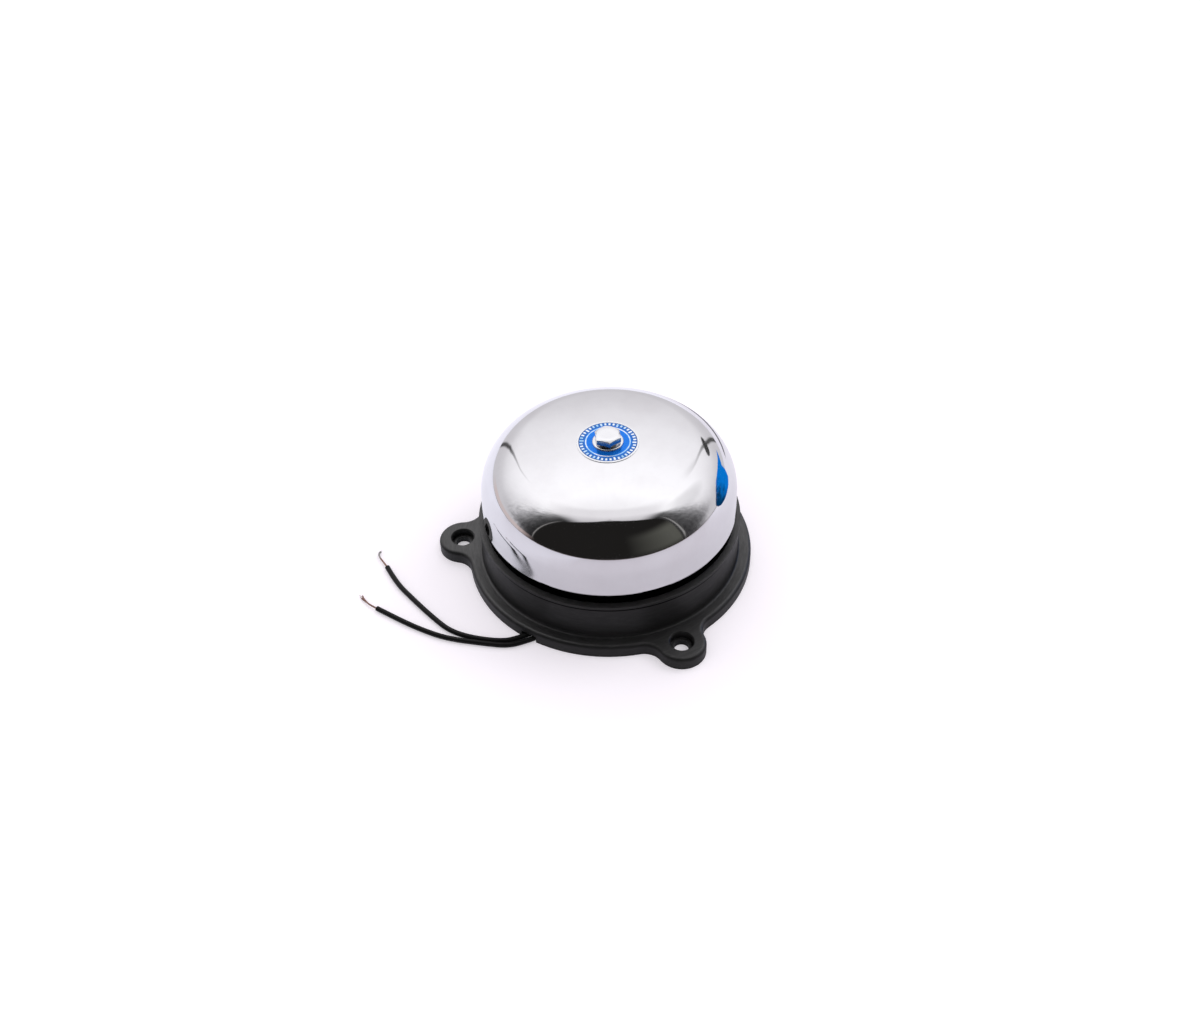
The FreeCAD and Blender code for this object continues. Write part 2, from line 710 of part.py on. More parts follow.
def make_coil_yoke(doc, s):
    """Bent steel frame: a plate against the hat's roof with a leg at each end of the coil."""
    body = new_body(doc, "coil_yoke")
    side = new_sketch(body, "YokeSide", "XZ_Plane")
    leg_end = s.coil_height - s.yoke_leg_tail
    right_outer = s.leg_right + s.yoke_sheet
    add_polygon(side, [
        (s.leg_left_outer, leg_end), (s.leg_left, leg_end), (s.leg_left, s.yoke_under),
        (s.leg_right, s.yoke_under), (s.leg_right, leg_end), (right_outer, leg_end),
        (right_outer, s.roof_under), (s.leg_left_outer, s.roof_under),
    ])
    extrude(body, "YokeStrip", side, s.yoke_width, both_ways=True)

    def outer_bend(edge):
        middle = edge.CenterOfMass
        at_roof = abs(middle.z - s.roof_under.value) < NEAR
        lengthwise = edge.BoundBox.XLength < NEAR
        return at_roof and lengthwise

    dress_edges(body, "YokeBends", "Fillet", s.yoke_bend, outer_bend)
    lugs = new_sketch(body, "YokeLugs", "XY_Plane", lift=s.yoke_under)
    reach = s.yoke_screw_place + s.yoke_lug_width / 2
    half = s.yoke_lug_width / 2
    add_polygon(lugs, box_corners(-half, half, -reach, reach))
    extrude(body, "YokeLugPads", lugs, s.yoke_sheet)

    holes = new_sketch(body, "YokeHoles", "XY_Plane", lift=s.yoke_under)
    for way in (1, -1):
        add_circle(holes, (0, s.yoke_screw_place * way), s.yoke_screw_radius + s.bolt_gap)
    add_circle(holes, (0, 0), s.insert_radius - s.thread_gap)
    extrude(body, "YokeHolePockets", holes, s.yoke_sheet, "Pocket", backwards=True)

    tube_hole = new_sketch(body, "YokeTubeHole", "YZ_Plane", lift=s.leg_left_outer)
    add_circle(tube_hole, (0, s.coil_height), s.tube_radius + s.fit_gap)
    extrude(body, "YokeTubePocket", tube_hole, s.yoke_sheet, "Pocket", backwards=True)
    rod_hole = new_sketch(body, "YokeRodHole", "YZ_Plane", lift=s.leg_right)
    add_circle(rod_hole, (0, s.coil_height), s.rod_radius + s.rod_gap)
    extrude(body, "YokeRodPocket", rod_hole, s.yoke_sheet, "Pocket", backwards=True)
    return body


def make_guide_tube(doc, s):
    """Thin brass tube that lines the coil and guides the plunger."""
    corners = box_corners(s.leg_left_outer, s.leg_right, s.tube_bore, s.tube_radius)
    return turned_body(doc, "guide_tube", corners, s.coil_height)


def make_bobbin(doc, s):
    """Moulded reel with a flange at each end."""
    left = s.leg_left + s.bobbin_gap
    right = s.leg_right - s.bobbin_gap
    corners = [
        (left, s.bobbin_bore), (right, s.bobbin_bore), (right, s.bobbin_radius),
        (right - s.bobbin_flange, s.bobbin_radius), (right - s.bobbin_flange, s.bobbin_core),
        (left + s.bobbin_flange, s.bobbin_core), (left + s.bobbin_flange, s.bobbin_radius),
        (left, s.bobbin_radius),
    ]
    return turned_body(doc, "bobbin", corners, s.coil_height)


def reel_inside(s):
    """The two places along X between the bobbin's flanges."""
    left = s.leg_left + s.bobbin_gap + s.bobbin_flange + s.fit_gap
    right = s.leg_right - s.bobbin_gap - s.bobbin_flange - s.fit_gap
    return left, right


def make_winding(doc, s):
    """The wound wire, as one ring."""
    left, right = reel_inside(s)
    corners = box_corners(left, right, s.bobbin_core + s.fit_gap, s.winding_radius)
    return turned_body(doc, "winding", corners, s.coil_height)


def make_coil_tape(doc, s):
    """Tape over the winding."""
    left, right = reel_inside(s)
    inside = s.winding_radius + s.fit_gap
    corners = box_corners(left, right, inside, inside + s.tape_thickness)
    return turned_body(doc, "coil_tape", corners, s.coil_height)


# ---- striker ----------------------------------------------------------------------------------

def make_plunger(doc, s):
    """Soft iron core with a groove for the clip and a blind bore for the rod."""
    groove = s.plunger_radius - s.clip_groove
    bevel = s.plunger_tail / 2
    bore = s.rod_radius + s.fit_gap
    bore_end = s.plunger_right - s.rod_in_plunger
    corners = [
        (s.plunger_left, 0), (bore_end, 0), (bore_end, bore), (s.plunger_right, bore),
        (s.plunger_right, s.plunger_radius), (s.clip_right, s.plunger_radius),
        (s.clip_right, groove), (s.clip_left, groove), (s.clip_left, s.plunger_radius),
        (s.plunger_left + bevel, s.plunger_radius), (s.plunger_left, s.plunger_radius - bevel),
    ]
    return turned_body(doc, "plunger", corners, s.coil_height)


def make_spring_clip(doc, s):
    """Open ring that snaps into the plunger's groove and carries the spring."""
    inside = s.plunger_radius - s.clip_groove + s.fit_gap
    corners = box_corners(s.clip_left, s.clip_right, inside, s.clip_radius)
    body = turned_body(doc, "spring_clip", corners, s.coil_height)
    mouth = new_sketch(body, "ClipMouth", "YZ_Plane", lift=s.clip_left)
    half = s.clip_mouth / 2
    add_polygon(mouth, box_corners(-half, half, -s.clip_radius - s.cut_margin, 0))
    extrude(body, "ClipMouthPocket", mouth, s.clip_thickness, "Pocket", backwards=True)
    return body


def make_striker_rod(doc, s):
    """Plain rod from the plunger to the head."""
    left = s.plunger_right - s.rod_in_plunger
    right = s.head_left + s.rod_in_head
    corners = [(left, 0), (right, 0), (right, s.rod_radius), (left, s.rod_radius)]
    return turned_body(doc, "striker_rod", corners, s.coil_height)


def make_striker_head(doc, s):
    """Domed head that taps the gong from inside."""
    body = new_body(doc, "striker_head", height=s.coil_height)
    sketch = new_sketch(body, "HeadProfile", "XZ_Plane")
    bore = s.rod_radius + s.fit_gap
    bore_end = s.head_left + s.rod_in_head
    dome_start = s.head_right - s.head_dome
    dome_radius = (s.head_radius * s.head_radius + s.head_dome * s.head_dome) / (s.head_dome * 2)
    tip = (s.head_right, 0)
    corners = [
        (bore_end, 0), (bore_end, bore), (s.head_left, bore),
        (s.head_left, s.head_radius), (dome_start, s.head_radius),
    ]
    for start, end in zip(corners, corners[1:]):
        sketch.addGeometry(Part.LineSegment(flat_point(start), flat_point(end)), False)
    centre = flat_point((s.head_right.value - dome_radius.value, 0))
    circle = Part.Circle(centre, FreeCAD.Vector(0, 0, 1), dome_radius.value)
    dome_turn = math.asin(s.head_radius.value / dome_radius.value)
    dome = sketch.addGeometry(Part.ArcOfCircle(circle, 0, dome_turn), False)
    closing = Part.LineSegment(flat_point(tip), flat_point(corners[0]))
    axis = sketch.addGeometry(closing, False)
    for edge in range(1, dome):
        sketch.addConstraint(Sketcher.Constraint("Coincident", edge - 1, 2, edge, 1))
        pin_point(sketch, edge, 1, corners[edge])
    pin_point(sketch, dome - 1, 2, corners[-1])
    sketch.addConstraint(Sketcher.Constraint("Coincident", dome - 1, 2, dome, 2))
    sketch.addConstraint(Sketcher.Constraint("Coincident", dome, 1, axis, 1))
    sketch.addConstraint(Sketcher.Constraint("Coincident", axis, 2, 0, 1))
    pin_point(sketch, 0, 1, corners[0])
    pin_point(sketch, axis, 1, tip)
    set_radius(sketch, dome, dome_radius)
    revolve(body, "HeadTurn", sketch, "H_Axis")
    return body


def make_stop_pad(doc, s):
    """Rubber pad that the plunger rests against."""
    corners = [(s.pad_left, 0), (s.pad_right, 0), (s.pad_right, s.pad_radius),
               (s.pad_left, s.pad_radius)]
    return turned_body(doc, "stop_pad", corners, s.coil_height)


def make_return_spring(doc, s):
    """Open coil spring between the yoke's leg and the clip."""
    spring = doc.addObject("Part::Feature", "ReturnSpring")
    wire_radius = s.spring_wire.value / 2
    run = s.spring_length.value - s.spring_wire.value
    helix = Part.makeHelix(run / s.spring_turns.value, run, s.spring_radius.value)
    start = FreeCAD.Vector(s.spring_radius.value, 0, 0)
    section = Part.Wire(Part.makeCircle(wire_radius, start, FreeCAD.Vector(0, 1, 0)))
    spring.Shape = Part.Wire(helix).makePipeShell([section], True, True)
    place = FreeCAD.Vector(s.clip_right.value + wire_radius, 0, s.coil_height.value)
    spring.Placement = FreeCAD.Placement(place, FreeCAD.Rotation(FreeCAD.Vector(0, 1, 0), 90))
    spring.Label = "return_spring"
    return spring


# ---- fasteners and small electrical pieces ----------------------------------------------------

def make_cylinder(doc, name, radius, length, place):
    """Upright cylinder tied to the sheet, its centre's two coordinates and foot given."""
    cylinder = doc.addObject("Part::Cylinder", name)
    cylinder.setExpression("Radius", radius.formula)
    cylinder.setExpression("Height", length.formula)
    for axis, size in zip("xyz", place):
        size = size if isinstance(size, Size) else Size(size)
        cylinder.setExpression(f"Placement.Base.{axis}", size.formula)
    return cylinder


def make_screw(doc, name, place, head, shank):
    """Slotted screw that points up. head and shank are each (radius, length)."""
    across, along, foot = place
    cap = make_cylinder(doc, f"{name}Cap", head[0], head[1], place)
    stem = make_cylinder(doc, f"{name}Stem", shank[0], shank[1], (across, along, foot + head[1]))
    whole = doc.addObject("Part::Fuse", f"{name}Whole")
    whole.Base = cap
    whole.Tool = stem
    slot = doc.addObject("Part::Box", f"{name}Slot")
    slot_width = head[0] / SLOT_SHARE
    sizes = {"Length": head[0] * 2, "Width": slot_width, "Height": head[1] / SLOT_SHARE,
             "Placement.Base.x": across - head[0], "Placement.Base.y": along - slot_width / 2,
             "Placement.Base.z": foot}
    for key, size in sizes.items():
        slot.setExpression(key, size.formula)
    screw = doc.addObject("Part::Cut", name)
    screw.Base = whole
    screw.Tool = slot
    return screw


def make_yoke_screws(doc, s):
    """The two screws that hold the yoke under the hat's roof."""
    foot = s.yoke_under - s.yoke_head_height
    screws = doc.addObject("Part::Compound", "YokeScrews")
    screws.Links = [
        make_screw(doc, f"YokeScrew{number}", (Size(0), s.yoke_screw_place * side, foot),
                   (s.yoke_head_radius, s.yoke_head_height),
                   (s.yoke_screw_radius, s.yoke_screw_length))
        for number, side in enumerate((1, -1), start=1)
    ]
    screws.Label = "yoke_screws"
    return screws


def make_clamp_screw(doc, s):
    """Screw through the lead clamp into its block."""
    turn = math.radians(s.clamp_angle.value)
    foot = s.clamp_face - s.lead_diameter - s.clamp_plate - s.clamp_head_height
    place = (s.clamp_place * math.cos(turn), s.clamp_place * math.sin(turn), foot)
    screw = make_screw(doc, "ClampScrew", place, (s.clamp_head_radius, s.clamp_head_height),
                       (s.clamp_screw_radius, s.clamp_screw_length))
    screw.Label = "clamp_screw"
    return screw


def make_lead_clamp(doc, s):
    """Saddle that pinches both leads against the housing's block."""
    body = new_body(doc, "lead_clamp", turn=s.clamp_angle)
    bottom = s.clamp_face - s.lead_diameter - s.clamp_plate
    plate = new_sketch(body, "ClampPlate", "XY_Plane", lift=bottom)
    near_side = s.clamp_place - s.clamp_depth / 2
    far_side = s.clamp_place + s.clamp_depth / 2
    half_width = s.clamp_width / 2
    add_polygon(plate, box_corners(near_side, far_side, -half_width, half_width))
    extrude(body, "ClampPlatePad", plate, s.lead_diameter + s.clamp_plate)
    channels = new_sketch(body, "ClampChannels", "XY_Plane", lift=s.clamp_face)
    half = s.lead_diameter / 2 + s.thread_gap
    for side in (1, -1):
        middle = s.clamp_lead_place * side
        corners = box_corners(near_side - s.cut_margin, far_side + s.cut_margin,
                              middle - half, middle + half)
        add_polygon(channels, corners)
    extrude(body, "ClampChannelPockets", channels, s.lead_diameter + s.thread_gap, "Pocket")
    hole = new_sketch(body, "ClampHole", "XY_Plane", lift=bottom)
    add_circle(hole, (s.clamp_place, 0), s.clamp_screw_radius + s.thread_gap * 2)
    extrude(body, "ClampHolePocket", hole, s.lead_diameter + s.clamp_plate, "Pocket",
            backwards=True)
    return body


def lay_along_x(doc, name, radius, length, start):
    """Cylinder along X that begins at a point of the wiring."""
    cylinder = doc.addObject("Part::Cylinder", name)
    cylinder.setExpression("Radius", radius.formula)
    cylinder.setExpression("Height", length.formula)
    turn = FreeCAD.Rotation(FreeCAD.Vector(0, 1, 0), 90)
    cylinder.Placement = FreeCAD.Placement(FreeCAD.Vector(*start), turn)
    return cylinder


def make_splice_sleeves(doc, s):
    """Sleeves over the joints between the leads and the coil's own tails."""
    sleeves = doc.addObject("Part::Compound", "SpliceSleeves")
    sleeves.Links = [
        lay_along_x(doc, "LongSleeve", s.sleeve_radius, s.sleeve_length, LONG_SLEEVE_START),
        lay_along_x(doc, "ShortSleeve", s.sleeve_radius, s.sleeve_length, SHORT_SLEEVE_START),
    ]
    sleeves.Label = "splice_sleeves"
    return sleeves


def make_rectifier_diode(doc, s):
    """Axial diode in line after the short lead's sleeve."""
    start_x, start_y, start_z = SHORT_SLEEVE_START
    leg_start = start_x + s.sleeve_length.value
    barrel_start = leg_start + s.diode_leg_length.value
    barrel = lay_along_x(doc, "DiodeBarrel", s.diode_radius, s.diode_length,
                         (barrel_start, start_y, start_z))
    whole_length = s.diode_length + s.diode_leg_length * 2
    legs = lay_along_x(doc, "DiodeLegs", s.diode_leg_radius, whole_length,
                       (leg_start, start_y, start_z))
    diode = doc.addObject("Part::Fuse", "RectifierDiode")
    diode.Base = barrel
    diode.Tool = legs
    diode.Label = "rectifier_diode"
    return diode


# ---- cords ------------------------------------------------------------------------------------

def tube_along(label, route, diameter):
    """Solid tube along straight runs joined by the largest tangent arcs that the runs allow."""
    points = [FreeCAD.Vector(*point) for point in route]
    edges = []
    radii = []
    start = points[0]
    for before, corner, after in zip(points, points[1:], points[2:]):
        arriving = (corner - before).normalize()
        leaving = (after - corner).normalize()
        turn = arriving.getAngle(leaving)
        if turn < STRAIGHT_TURN:
            raise ValueError(f"{label}: three points in line at {corner}")
        reach = ARC_SHARE * min(corner.distanceToPoint(before), corner.distanceToPoint(after))
        radius = reach / math.tan(turn / 2)
        arc_start = corner - arriving * reach
        arc_end = corner + leaving * reach
        inward = (leaving - arriving).normalize()
        middle = corner + inward * (radius / math.cos(turn / 2) - radius)
        edges.append(Part.LineSegment(start, arc_start).toShape())
        edges.append(Part.Arc(arc_start, middle, arc_end).toShape())
        radii.append(radius)
        start = arc_end
    edges.append(Part.LineSegment(start, points[-1]).toShape())
    path = Part.Wire(edges)
    direction = points[1] - points[0]
    section = Part.Wire(Part.makeCircle(diameter / 2, points[0], direction))
    tube = path.makePipeShell([section], True, False)
    expected = math.pi * diameter ** 2 / 4 * path.Length
    print(f"{label}: length {path.Length:.1f}, radii {[round(r, 1) for r in radii]}, "
          f"volume ratio {tube.Volume / expected:.4f}")
    if abs(tube.Volume / expected - 1) > TUBE_VOLUME_SLACK:
        raise ValueError(f"{label}: tube volume is wrong")
    return tube


def make_cord(doc, label, routes, diameter):
    """One node of one or more tubes."""
    cord = doc.addObject("Part::Feature", label.title().replace("_", ""))
    tubes = [tube_along(label, route, diameter.value) for route in routes]
    cord.Shape = tubes[0] if len(tubes) == 1 else Part.makeCompound(tubes)
    cord.Placement = FreeCAD.Placement()
    cord.Label = label
    return cord


def make_cords(doc, s):
    """Free leads, their bare ends, and the wiring inside the housing."""
    return [
        make_cord(doc, "lead_long", [LONG_LEAD], s.lead_diameter),
        make_cord(doc, "lead_short", [SHORT_LEAD], s.lead_diameter),
        make_cord(doc, "lead_long_strands", [LONG_STRANDS], s.strands_diameter),
        make_cord(doc, "lead_short_strands", [SHORT_STRANDS], s.strands_diameter),
        make_cord(doc, "lead_tails", [LONG_TAIL, SHORT_TAIL], s.lead_diameter),
        make_cord(doc, "coil_tails", [LONG_COIL_TAIL, SHORT_COIL_TAIL], s.tail_diameter),
    ]


# ---- whole bell -------------------------------------------------------------------------------

def make_pieces(doc, s):
    """Every sub-part of the bell."""
    insert_length = s.post_height - s.roof_under
    return [
        make_housing(doc, s),
        make_gong(doc, s),
        disc_body(doc, "gong_spacer", s.spacer_radius, s.bolt_hole_radius, s.spacer_thickness,
                  s.post_height),
        disc_body(doc, "post_insert", s.insert_radius, s.bolt_radius + s.thread_gap,
                  insert_length, s.roof_under),
        disc_body(doc, "name_disc", s.disc_radius, s.bolt_hole_radius, s.disc_thickness,
                  s.gong_top),
        disc_body(doc, "flat_washer", s.washer_radius, s.bolt_hole_radius, s.washer_thickness,
                  s.washer_bottom),
        make_lock_washer(doc, s),
        make_gong_bolt(doc, s),
        make_coil_yoke(doc, s),
        make_yoke_screws(doc, s),
        make_guide_tube(doc, s),
        make_bobbin(doc, s),
        make_winding(doc, s),
        make_coil_tape(doc, s),
        make_stop_pad(doc, s),
        make_plunger(doc, s),
        make_spring_clip(doc, s),
        make_return_spring(doc, s),
        make_striker_rod(doc, s),
        make_striker_head(doc, s),
        make_lead_clamp(doc, s),
        make_clamp_screw(doc, s),
        make_splice_sleeves(doc, s),
        make_rectifier_diode(doc, s),
    ] + make_cords(doc, s)


def check_document(doc, pieces):
    """Stop if any feature failed or any sub-part is not a valid solid."""
    for item in doc.Objects:
        if "Invalid" in item.State or "Error" in item.State:
            raise RuntimeError(f"{item.Label} failed: {item.State}")
    for piece in pieces:
        if piece.Shape.isNull() or not piece.Shape.isValid() or not piece.Shape.Solids:
            raise RuntimeError(f"{piece.Label} has no valid solid")


def main():
    doc = FreeCAD.newDocument("ElectricBell")
    sheet = make_sheet(doc)
    pieces = make_pieces(doc, SizeBook(sheet))
    doc.recompute()
    check_document(doc, pieces)
    os.makedirs("parts", exist_ok=True)
    for piece in pieces:
        piece.Shape.exportStep(f"parts/{piece.Label}.step")
        box = piece.Shape.BoundBox
        print(f"{piece.Label}: {len(piece.Shape.Solids)} solid(s), volume {piece.Shape.Volume:.1f}, "
              f"x {box.XMin:.2f}..{box.XMax:.2f}, y {box.YMin:.2f}..{box.YMax:.2f}, "
              f"z {box.ZMin:.2f}..{box.ZMax:.2f}")


main()
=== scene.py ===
import json
import math
import random

import bmesh
import bpy
from mathutils import Matrix, Vector


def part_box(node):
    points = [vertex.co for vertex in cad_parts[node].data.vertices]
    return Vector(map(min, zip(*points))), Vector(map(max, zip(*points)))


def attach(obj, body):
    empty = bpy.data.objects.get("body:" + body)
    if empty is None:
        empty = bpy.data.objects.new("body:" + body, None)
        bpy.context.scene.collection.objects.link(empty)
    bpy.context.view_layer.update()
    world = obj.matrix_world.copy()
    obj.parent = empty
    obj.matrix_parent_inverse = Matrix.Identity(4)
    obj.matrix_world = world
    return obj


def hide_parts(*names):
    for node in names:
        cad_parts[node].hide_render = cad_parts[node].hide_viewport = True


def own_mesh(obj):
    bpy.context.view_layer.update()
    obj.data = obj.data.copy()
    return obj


# Looks of the electric bell, built around its CAD model. Sizes are millimetres, turned into Blender's
# metres by MM where a piece is made. Angles are degrees.

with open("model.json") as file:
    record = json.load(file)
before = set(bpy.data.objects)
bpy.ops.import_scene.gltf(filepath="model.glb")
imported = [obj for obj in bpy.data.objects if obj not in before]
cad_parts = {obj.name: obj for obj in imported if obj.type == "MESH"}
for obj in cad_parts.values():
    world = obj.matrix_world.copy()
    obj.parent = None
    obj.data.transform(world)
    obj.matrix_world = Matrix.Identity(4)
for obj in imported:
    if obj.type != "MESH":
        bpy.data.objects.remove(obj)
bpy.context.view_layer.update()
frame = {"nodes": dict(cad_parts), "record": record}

MM = 0.001

# Camera
CAMERA_PLACE = (22.55, -303.41, 304.80)
CAMERA_TARGET = (-4.37, 19.02, 0.0)
CAMERA_ROLL = -1.63
CAMERA_LENS = 42.346
SENSOR_WIDTH = 36.0
CAMERA_CLIP = (0.01, 50.0)     # metres

# Room that the polished metal shows. Its directions are turned from the bell's own axes.
ROOM_TURN = 4.25
ROOM_MIDDLE = -2.0
ROOM_HALF_WIDTH = 63.0
ROOM_LEAN = 14.0
LEFT_LEAN = 3.0
LEAN_TOP = 62.0
LEAN_POWER = 3.0
ROOM_TOP = 86.0
ROOM_CORNER_FROM = 20.0
ROOM_CORNER_POWER = 4.0
ROOM_BORDER = (0.93, 1.04)
LOW_BORDER_HEIGHTS = (14.0, 3.0)
LOW_BORDER_GAIN = (0.85, 0.35)
HIGH_BORDER_GAIN = 0.6
FLOOR_SIZE = 6000.0
FLOOR_DROP = 0.03
FLOOR_LIFT = 0.345
# Distances over which the floor's own light grows, and by how much: painted shade round the bell
FLOOR_FAR = (62.0, 125.0)
FLOOR_FAR_LIFT = 0.14
MIRRORED_BEHIND = (-40.0, 60.0)
MIRRORED_LEFT = (10.0, 55.0)
MIRRORED_SLANT = 0.3
MIRRORED_LIFT = 0.15
MIRRORED_LEAST = 0.075

# Dark band painted only into what the metal mirrors of the floor: a point of its line, its direction,
# and its shade. Here and below a soft band is (from, to, softness).
MIRROR_BAND_PLACE = (37.0, 95.0)
MIRROR_BAND_WAY = (-0.50, 0.866)
MIRROR_BAND_SHADE = (0.0, 24.0, 3.0)
MIRROR_BAND_SPAN = (30.0, 150.0, 14.0)
MIRROR_BAND_DEPTH = 0.9

# Half width of the backdrop by height, in degrees, and the clip at its right edge
BACKDROP_BY_HEIGHT = [(0, 33.0), (18, 32.5), (26, 31.0), (32, 28.5), (38, 26.5), (48, 27.0)]
BACKDROP_LEFT_SHIFT = 3.5
BACKDROP_SHIFT_HEIGHTS = (22.0, 42.0)
BACKDROP_LINE = (0.7, 1.9)
BACKDROP_LINE_FADE = (24.0, 50.0)
BACKDROP_CLIP = (147.0, 25.0)
BACKDROP_CLIP_SIZE = (9.0, 4.5)

# Other marks in the room, in degrees: folds, a dim patch and streaks in the paper, the dim panel in
# the dark room, the warm paper low at the left, and the line of the table's far edge
FOLD_STRETCH = 0.3
FOLD_DEPTH = 0.45
FOLD_REACH = (26.0, 40.0)
DIM_PATCH = (110.0, 50.0)
DIM_PATCH_SIZE = (26.0, 16.0)
DIM_PATCH_DEPTH = 0.22
LEFT_STREAK = (0.6, 1.7, 0.4)
RIGHT_STREAK = (2.0, 3.6, 0.5)
STREAK_HEIGHTS = (6.0, 58.0, 8.0)
PANEL_SIDE = (14.0, 56.0)
PANEL_HEIGHTS = (3.0, 46.0, 9.0)
OVERHEAD_HEIGHTS = (62.0, 76.0)
WARM_HEIGHTS = (0.5, 6.5, 1.0)
WARM_SIDE = (-122.0, -70.0, 8.0)
TABLE_LINE = (-1.2, 0.1, 0.3)
TABLE_LINE_ENDS = (125.0, 110.0)

# Blue card that stands beside the bell and shows only in its metal: foot and outline of it
CARD_PLACE = (177.0, 74.0, 0.0)
CARD_TURN = 122.0
CARD_OUTLINE = [
    (-55, 40), (-50, 22), (-38, 9), (-18, 1), (4, 0), (22, 1), (38, 8), (46, 32), (50, 52), (68, 57),
    (88, 63), (68, 71), (50, 80), (30, 87), (6, 90), (-18, 80), (-36, 64), (-48, 52),
]

# Brightness of the studio's paper by height, and its fading beside the dark room, in degrees
PAPER_BY_HEIGHT = [
    (0, (0.79, 0.77, 0.80)), (10, (0.81, 0.79, 0.82)), (18, (0.88, 0.86, 0.89)),
    (26, (1.04, 1.02, 1.05)), (34, (1.17, 1.15, 1.18)), (42, (1.27, 1.25, 1.28)),
    (50, (1.38, 1.36, 1.39)), (60, (1.45, 1.43, 1.45)), (66, (1.30, 1.28, 1.30)),
    (72, (1.06, 1.04, 1.06)),
]
RIGHT_FADE = [
    (0, 0.035), (5, 0.062), (10, 0.085), (15, 0.115), (19, 0.17), (24, 0.30), (29, 0.48), (34, 0.76),
    (39, 0.92), (44, 0.97), (54, 1.0),
]
LEFT_FADE = [
    (0, 0.02), (4, 0.04), (8, 0.065), (13, 0.13), (18, 0.27), (23, 0.50), (29, 0.74), (36, 0.88),
    (50, 0.97), (65, 1.0),
]

# Lamps: name, place, size and power
LAMPS = [("lamp_behind", (-150, 750, 900), 900, 2.0), ("lamp_right", (620, 330, 850), 500, 2.0)]
LAMP_TARGET = (0, 0, 20)

# Leads, point by point as in the CAD model
LONG_LEAD = [
    (-21.4, -35.6, 0.8), (-24.0, -37.1, 0.8), (-28.4, -38.7, 0.8), (-36.8, -37.9, 0.8),
    (-44.0, -35.6, 0.8), (-49.9, -30.5, 0.8), (-57.2, -23.2, 0.8), (-63.0, -17.0, 0.8),
    (-66.8, -10.7, 0.8),
]
LONG_STRANDS = [
    (-66.8, -10.7, 0.8), (-68.2, -8.89, 0.8), (-70.2, -6.2, 0.75), (-70.4, -4.2, 0.6),
    (-69.5, -3.9, 0.5),
]
SHORT_LEAD = [
    (-19.5, -36.9, 0.8), (-22.1, -38.4, 0.8), (-27.0, -40.3, 0.8), (-34.6, -39.6, 0.8),
    (-44.2, -38.4, 0.8), (-51.0, -36.0, 0.8), (-58.9, -32.2, 0.8), (-66.9, -27.6, 0.8),
]
SHORT_STRANDS = [
    (-66.9, -27.6, 0.8), (-68.98, -26.6, 0.8), (-71.0, -24.6, 0.6), (-72.9, -22.5, 0.45),
]
LEAD_DIAMETER = 1.55

# Black moulding: reach of the painted shade in corners, band of painted shade under the lip, and
# how shiny its walls and level faces are
CORNER_SHADE_REACH = 1.4
LIP_GROOVE_SHADE = (4.68, 5.12)
WALL_SHINE = 0.2
SCUFF_LENGTHS = 7.0
LEVEL_SHINE = 0.72

# Bare ends
STRAND_COUNT = 11
STRAND_RADIUS = 0.075
BUNDLE_RADIUS = 0.21
STRAND_TWIST = 260.0
STRAND_SPREAD_FROM = 0.45
STRAND_SHORTEST = 0.16
TINNED_REACH = (2.2, 4.2)

# Gong, beyond what its box gives
GONG_SHEET = 1.2
GONG_WALL_HEIGHT = 7.5
GONG_LEAN = 0.22
GONG_FLARE = 0.13
GONG_FLARE_HEIGHT = 3.2
GONG_SHOULDER = 14.7
GONG_SEAT_RADIUS = 9.2
GONG_HOLE_RADIUS = 2.2
GONG_RIM_ROUND = 0.35
GONG_SEGMENTS = 320
GONG_ARC_POINTS = 40
GONG_FLARE_POINTS = 16
GONG_SCUFF = (-22.5, -29.9, 0.8)
GONG_SCUFF_REACH = (7.5, 2.5)
GONG_SCUFF_DULL = 0.12

# Printed disc
DISC_HOLE_RADIUS = 2.2
DISC_EDGE_ROUND = 0.08
PRINT_OUTER = 8.4
PRINT_BORDER = 0.2
PRINT_RING_OUTER = 6.5
PRINT_RING_INNER = 6.15
TICK_OUTER = 8.1
TICK_INNER = 6.95
TICK_SHORTER = 0.3
TICK_COUNT = 40
LONG_TICK_EVERY = 4
TICK_SHARE = 0.46

# Fasteners
WASHER_HOLE_RADIUS = 2.2
WASHER_BEVEL = 0.1
WASHER_ROUND = 0.4
LOCK_SLIT = 0.7
LOCK_LIFT = 0.08
LOCK_SEGMENTS = 72
BOLT_FLATS = 7.0
BOLT_HEAD_HEIGHT = 2.0
BOLT_TOP_RADIUS = 3.1
BOLT_BEVEL_DROP = 0.5
BOLT_TURN = 42.25
BOLT_RADIUS = 1.95
BOLT_DISH = 0.03
BOLT_FOOT = 0.08
BOLT_SEAT_INSET = 0.05
BOLT_EDGE = 0.04
BOLT_SEGMENTS = 192

# Striker and coil
COIL_HEIGHT = 24.5
SPRING_WIRE = 0.5
SPRING_MEAN_RADIUS = 3.75
SPRING_TURNS = 6.5
SPRING_END_TURNS = 1.0
SPRING_STEPS = 40
TAPE_RADIUS = 8.37
TAPE_INSIDE = 8.02
TAPE_STEP = 0.09
TAPE_LAP_ANGLE = 250.0
TAPE_SEGMENTS = 180
TAPE_EDGE = 0.05
TAPE_EDGE_DROP = 0.04
TAPE_TURN_PITCH = 0.9
SLEEVE_RADIUS = 1.35
SLEEVE_LENGTH = 11.0
SLEEVE_CRUMPLE = 0.06
SLEEVE_STEPS = 14
SLEEVE_END = [(0, 0.35), (0.9, 0.3), (1.12, 0.02), (1.3, 0.04)]
SLEEVE_STARTS = [(-6.5, -15.0, 9.5), (-1.5, -18.5, 6.8)]
SLEEVE_BRAID = 9.0
DIODE_LEG_RADIUS = 0.4
DIODE_HALF_LENGTH = 2.55
DIODE_STRIPE = (1.3, 2.0)

BLACK = (0.0, 0.0, 0.0)


# ---- mesh helpers ----

def vector(point):
    return Vector(point) * MM


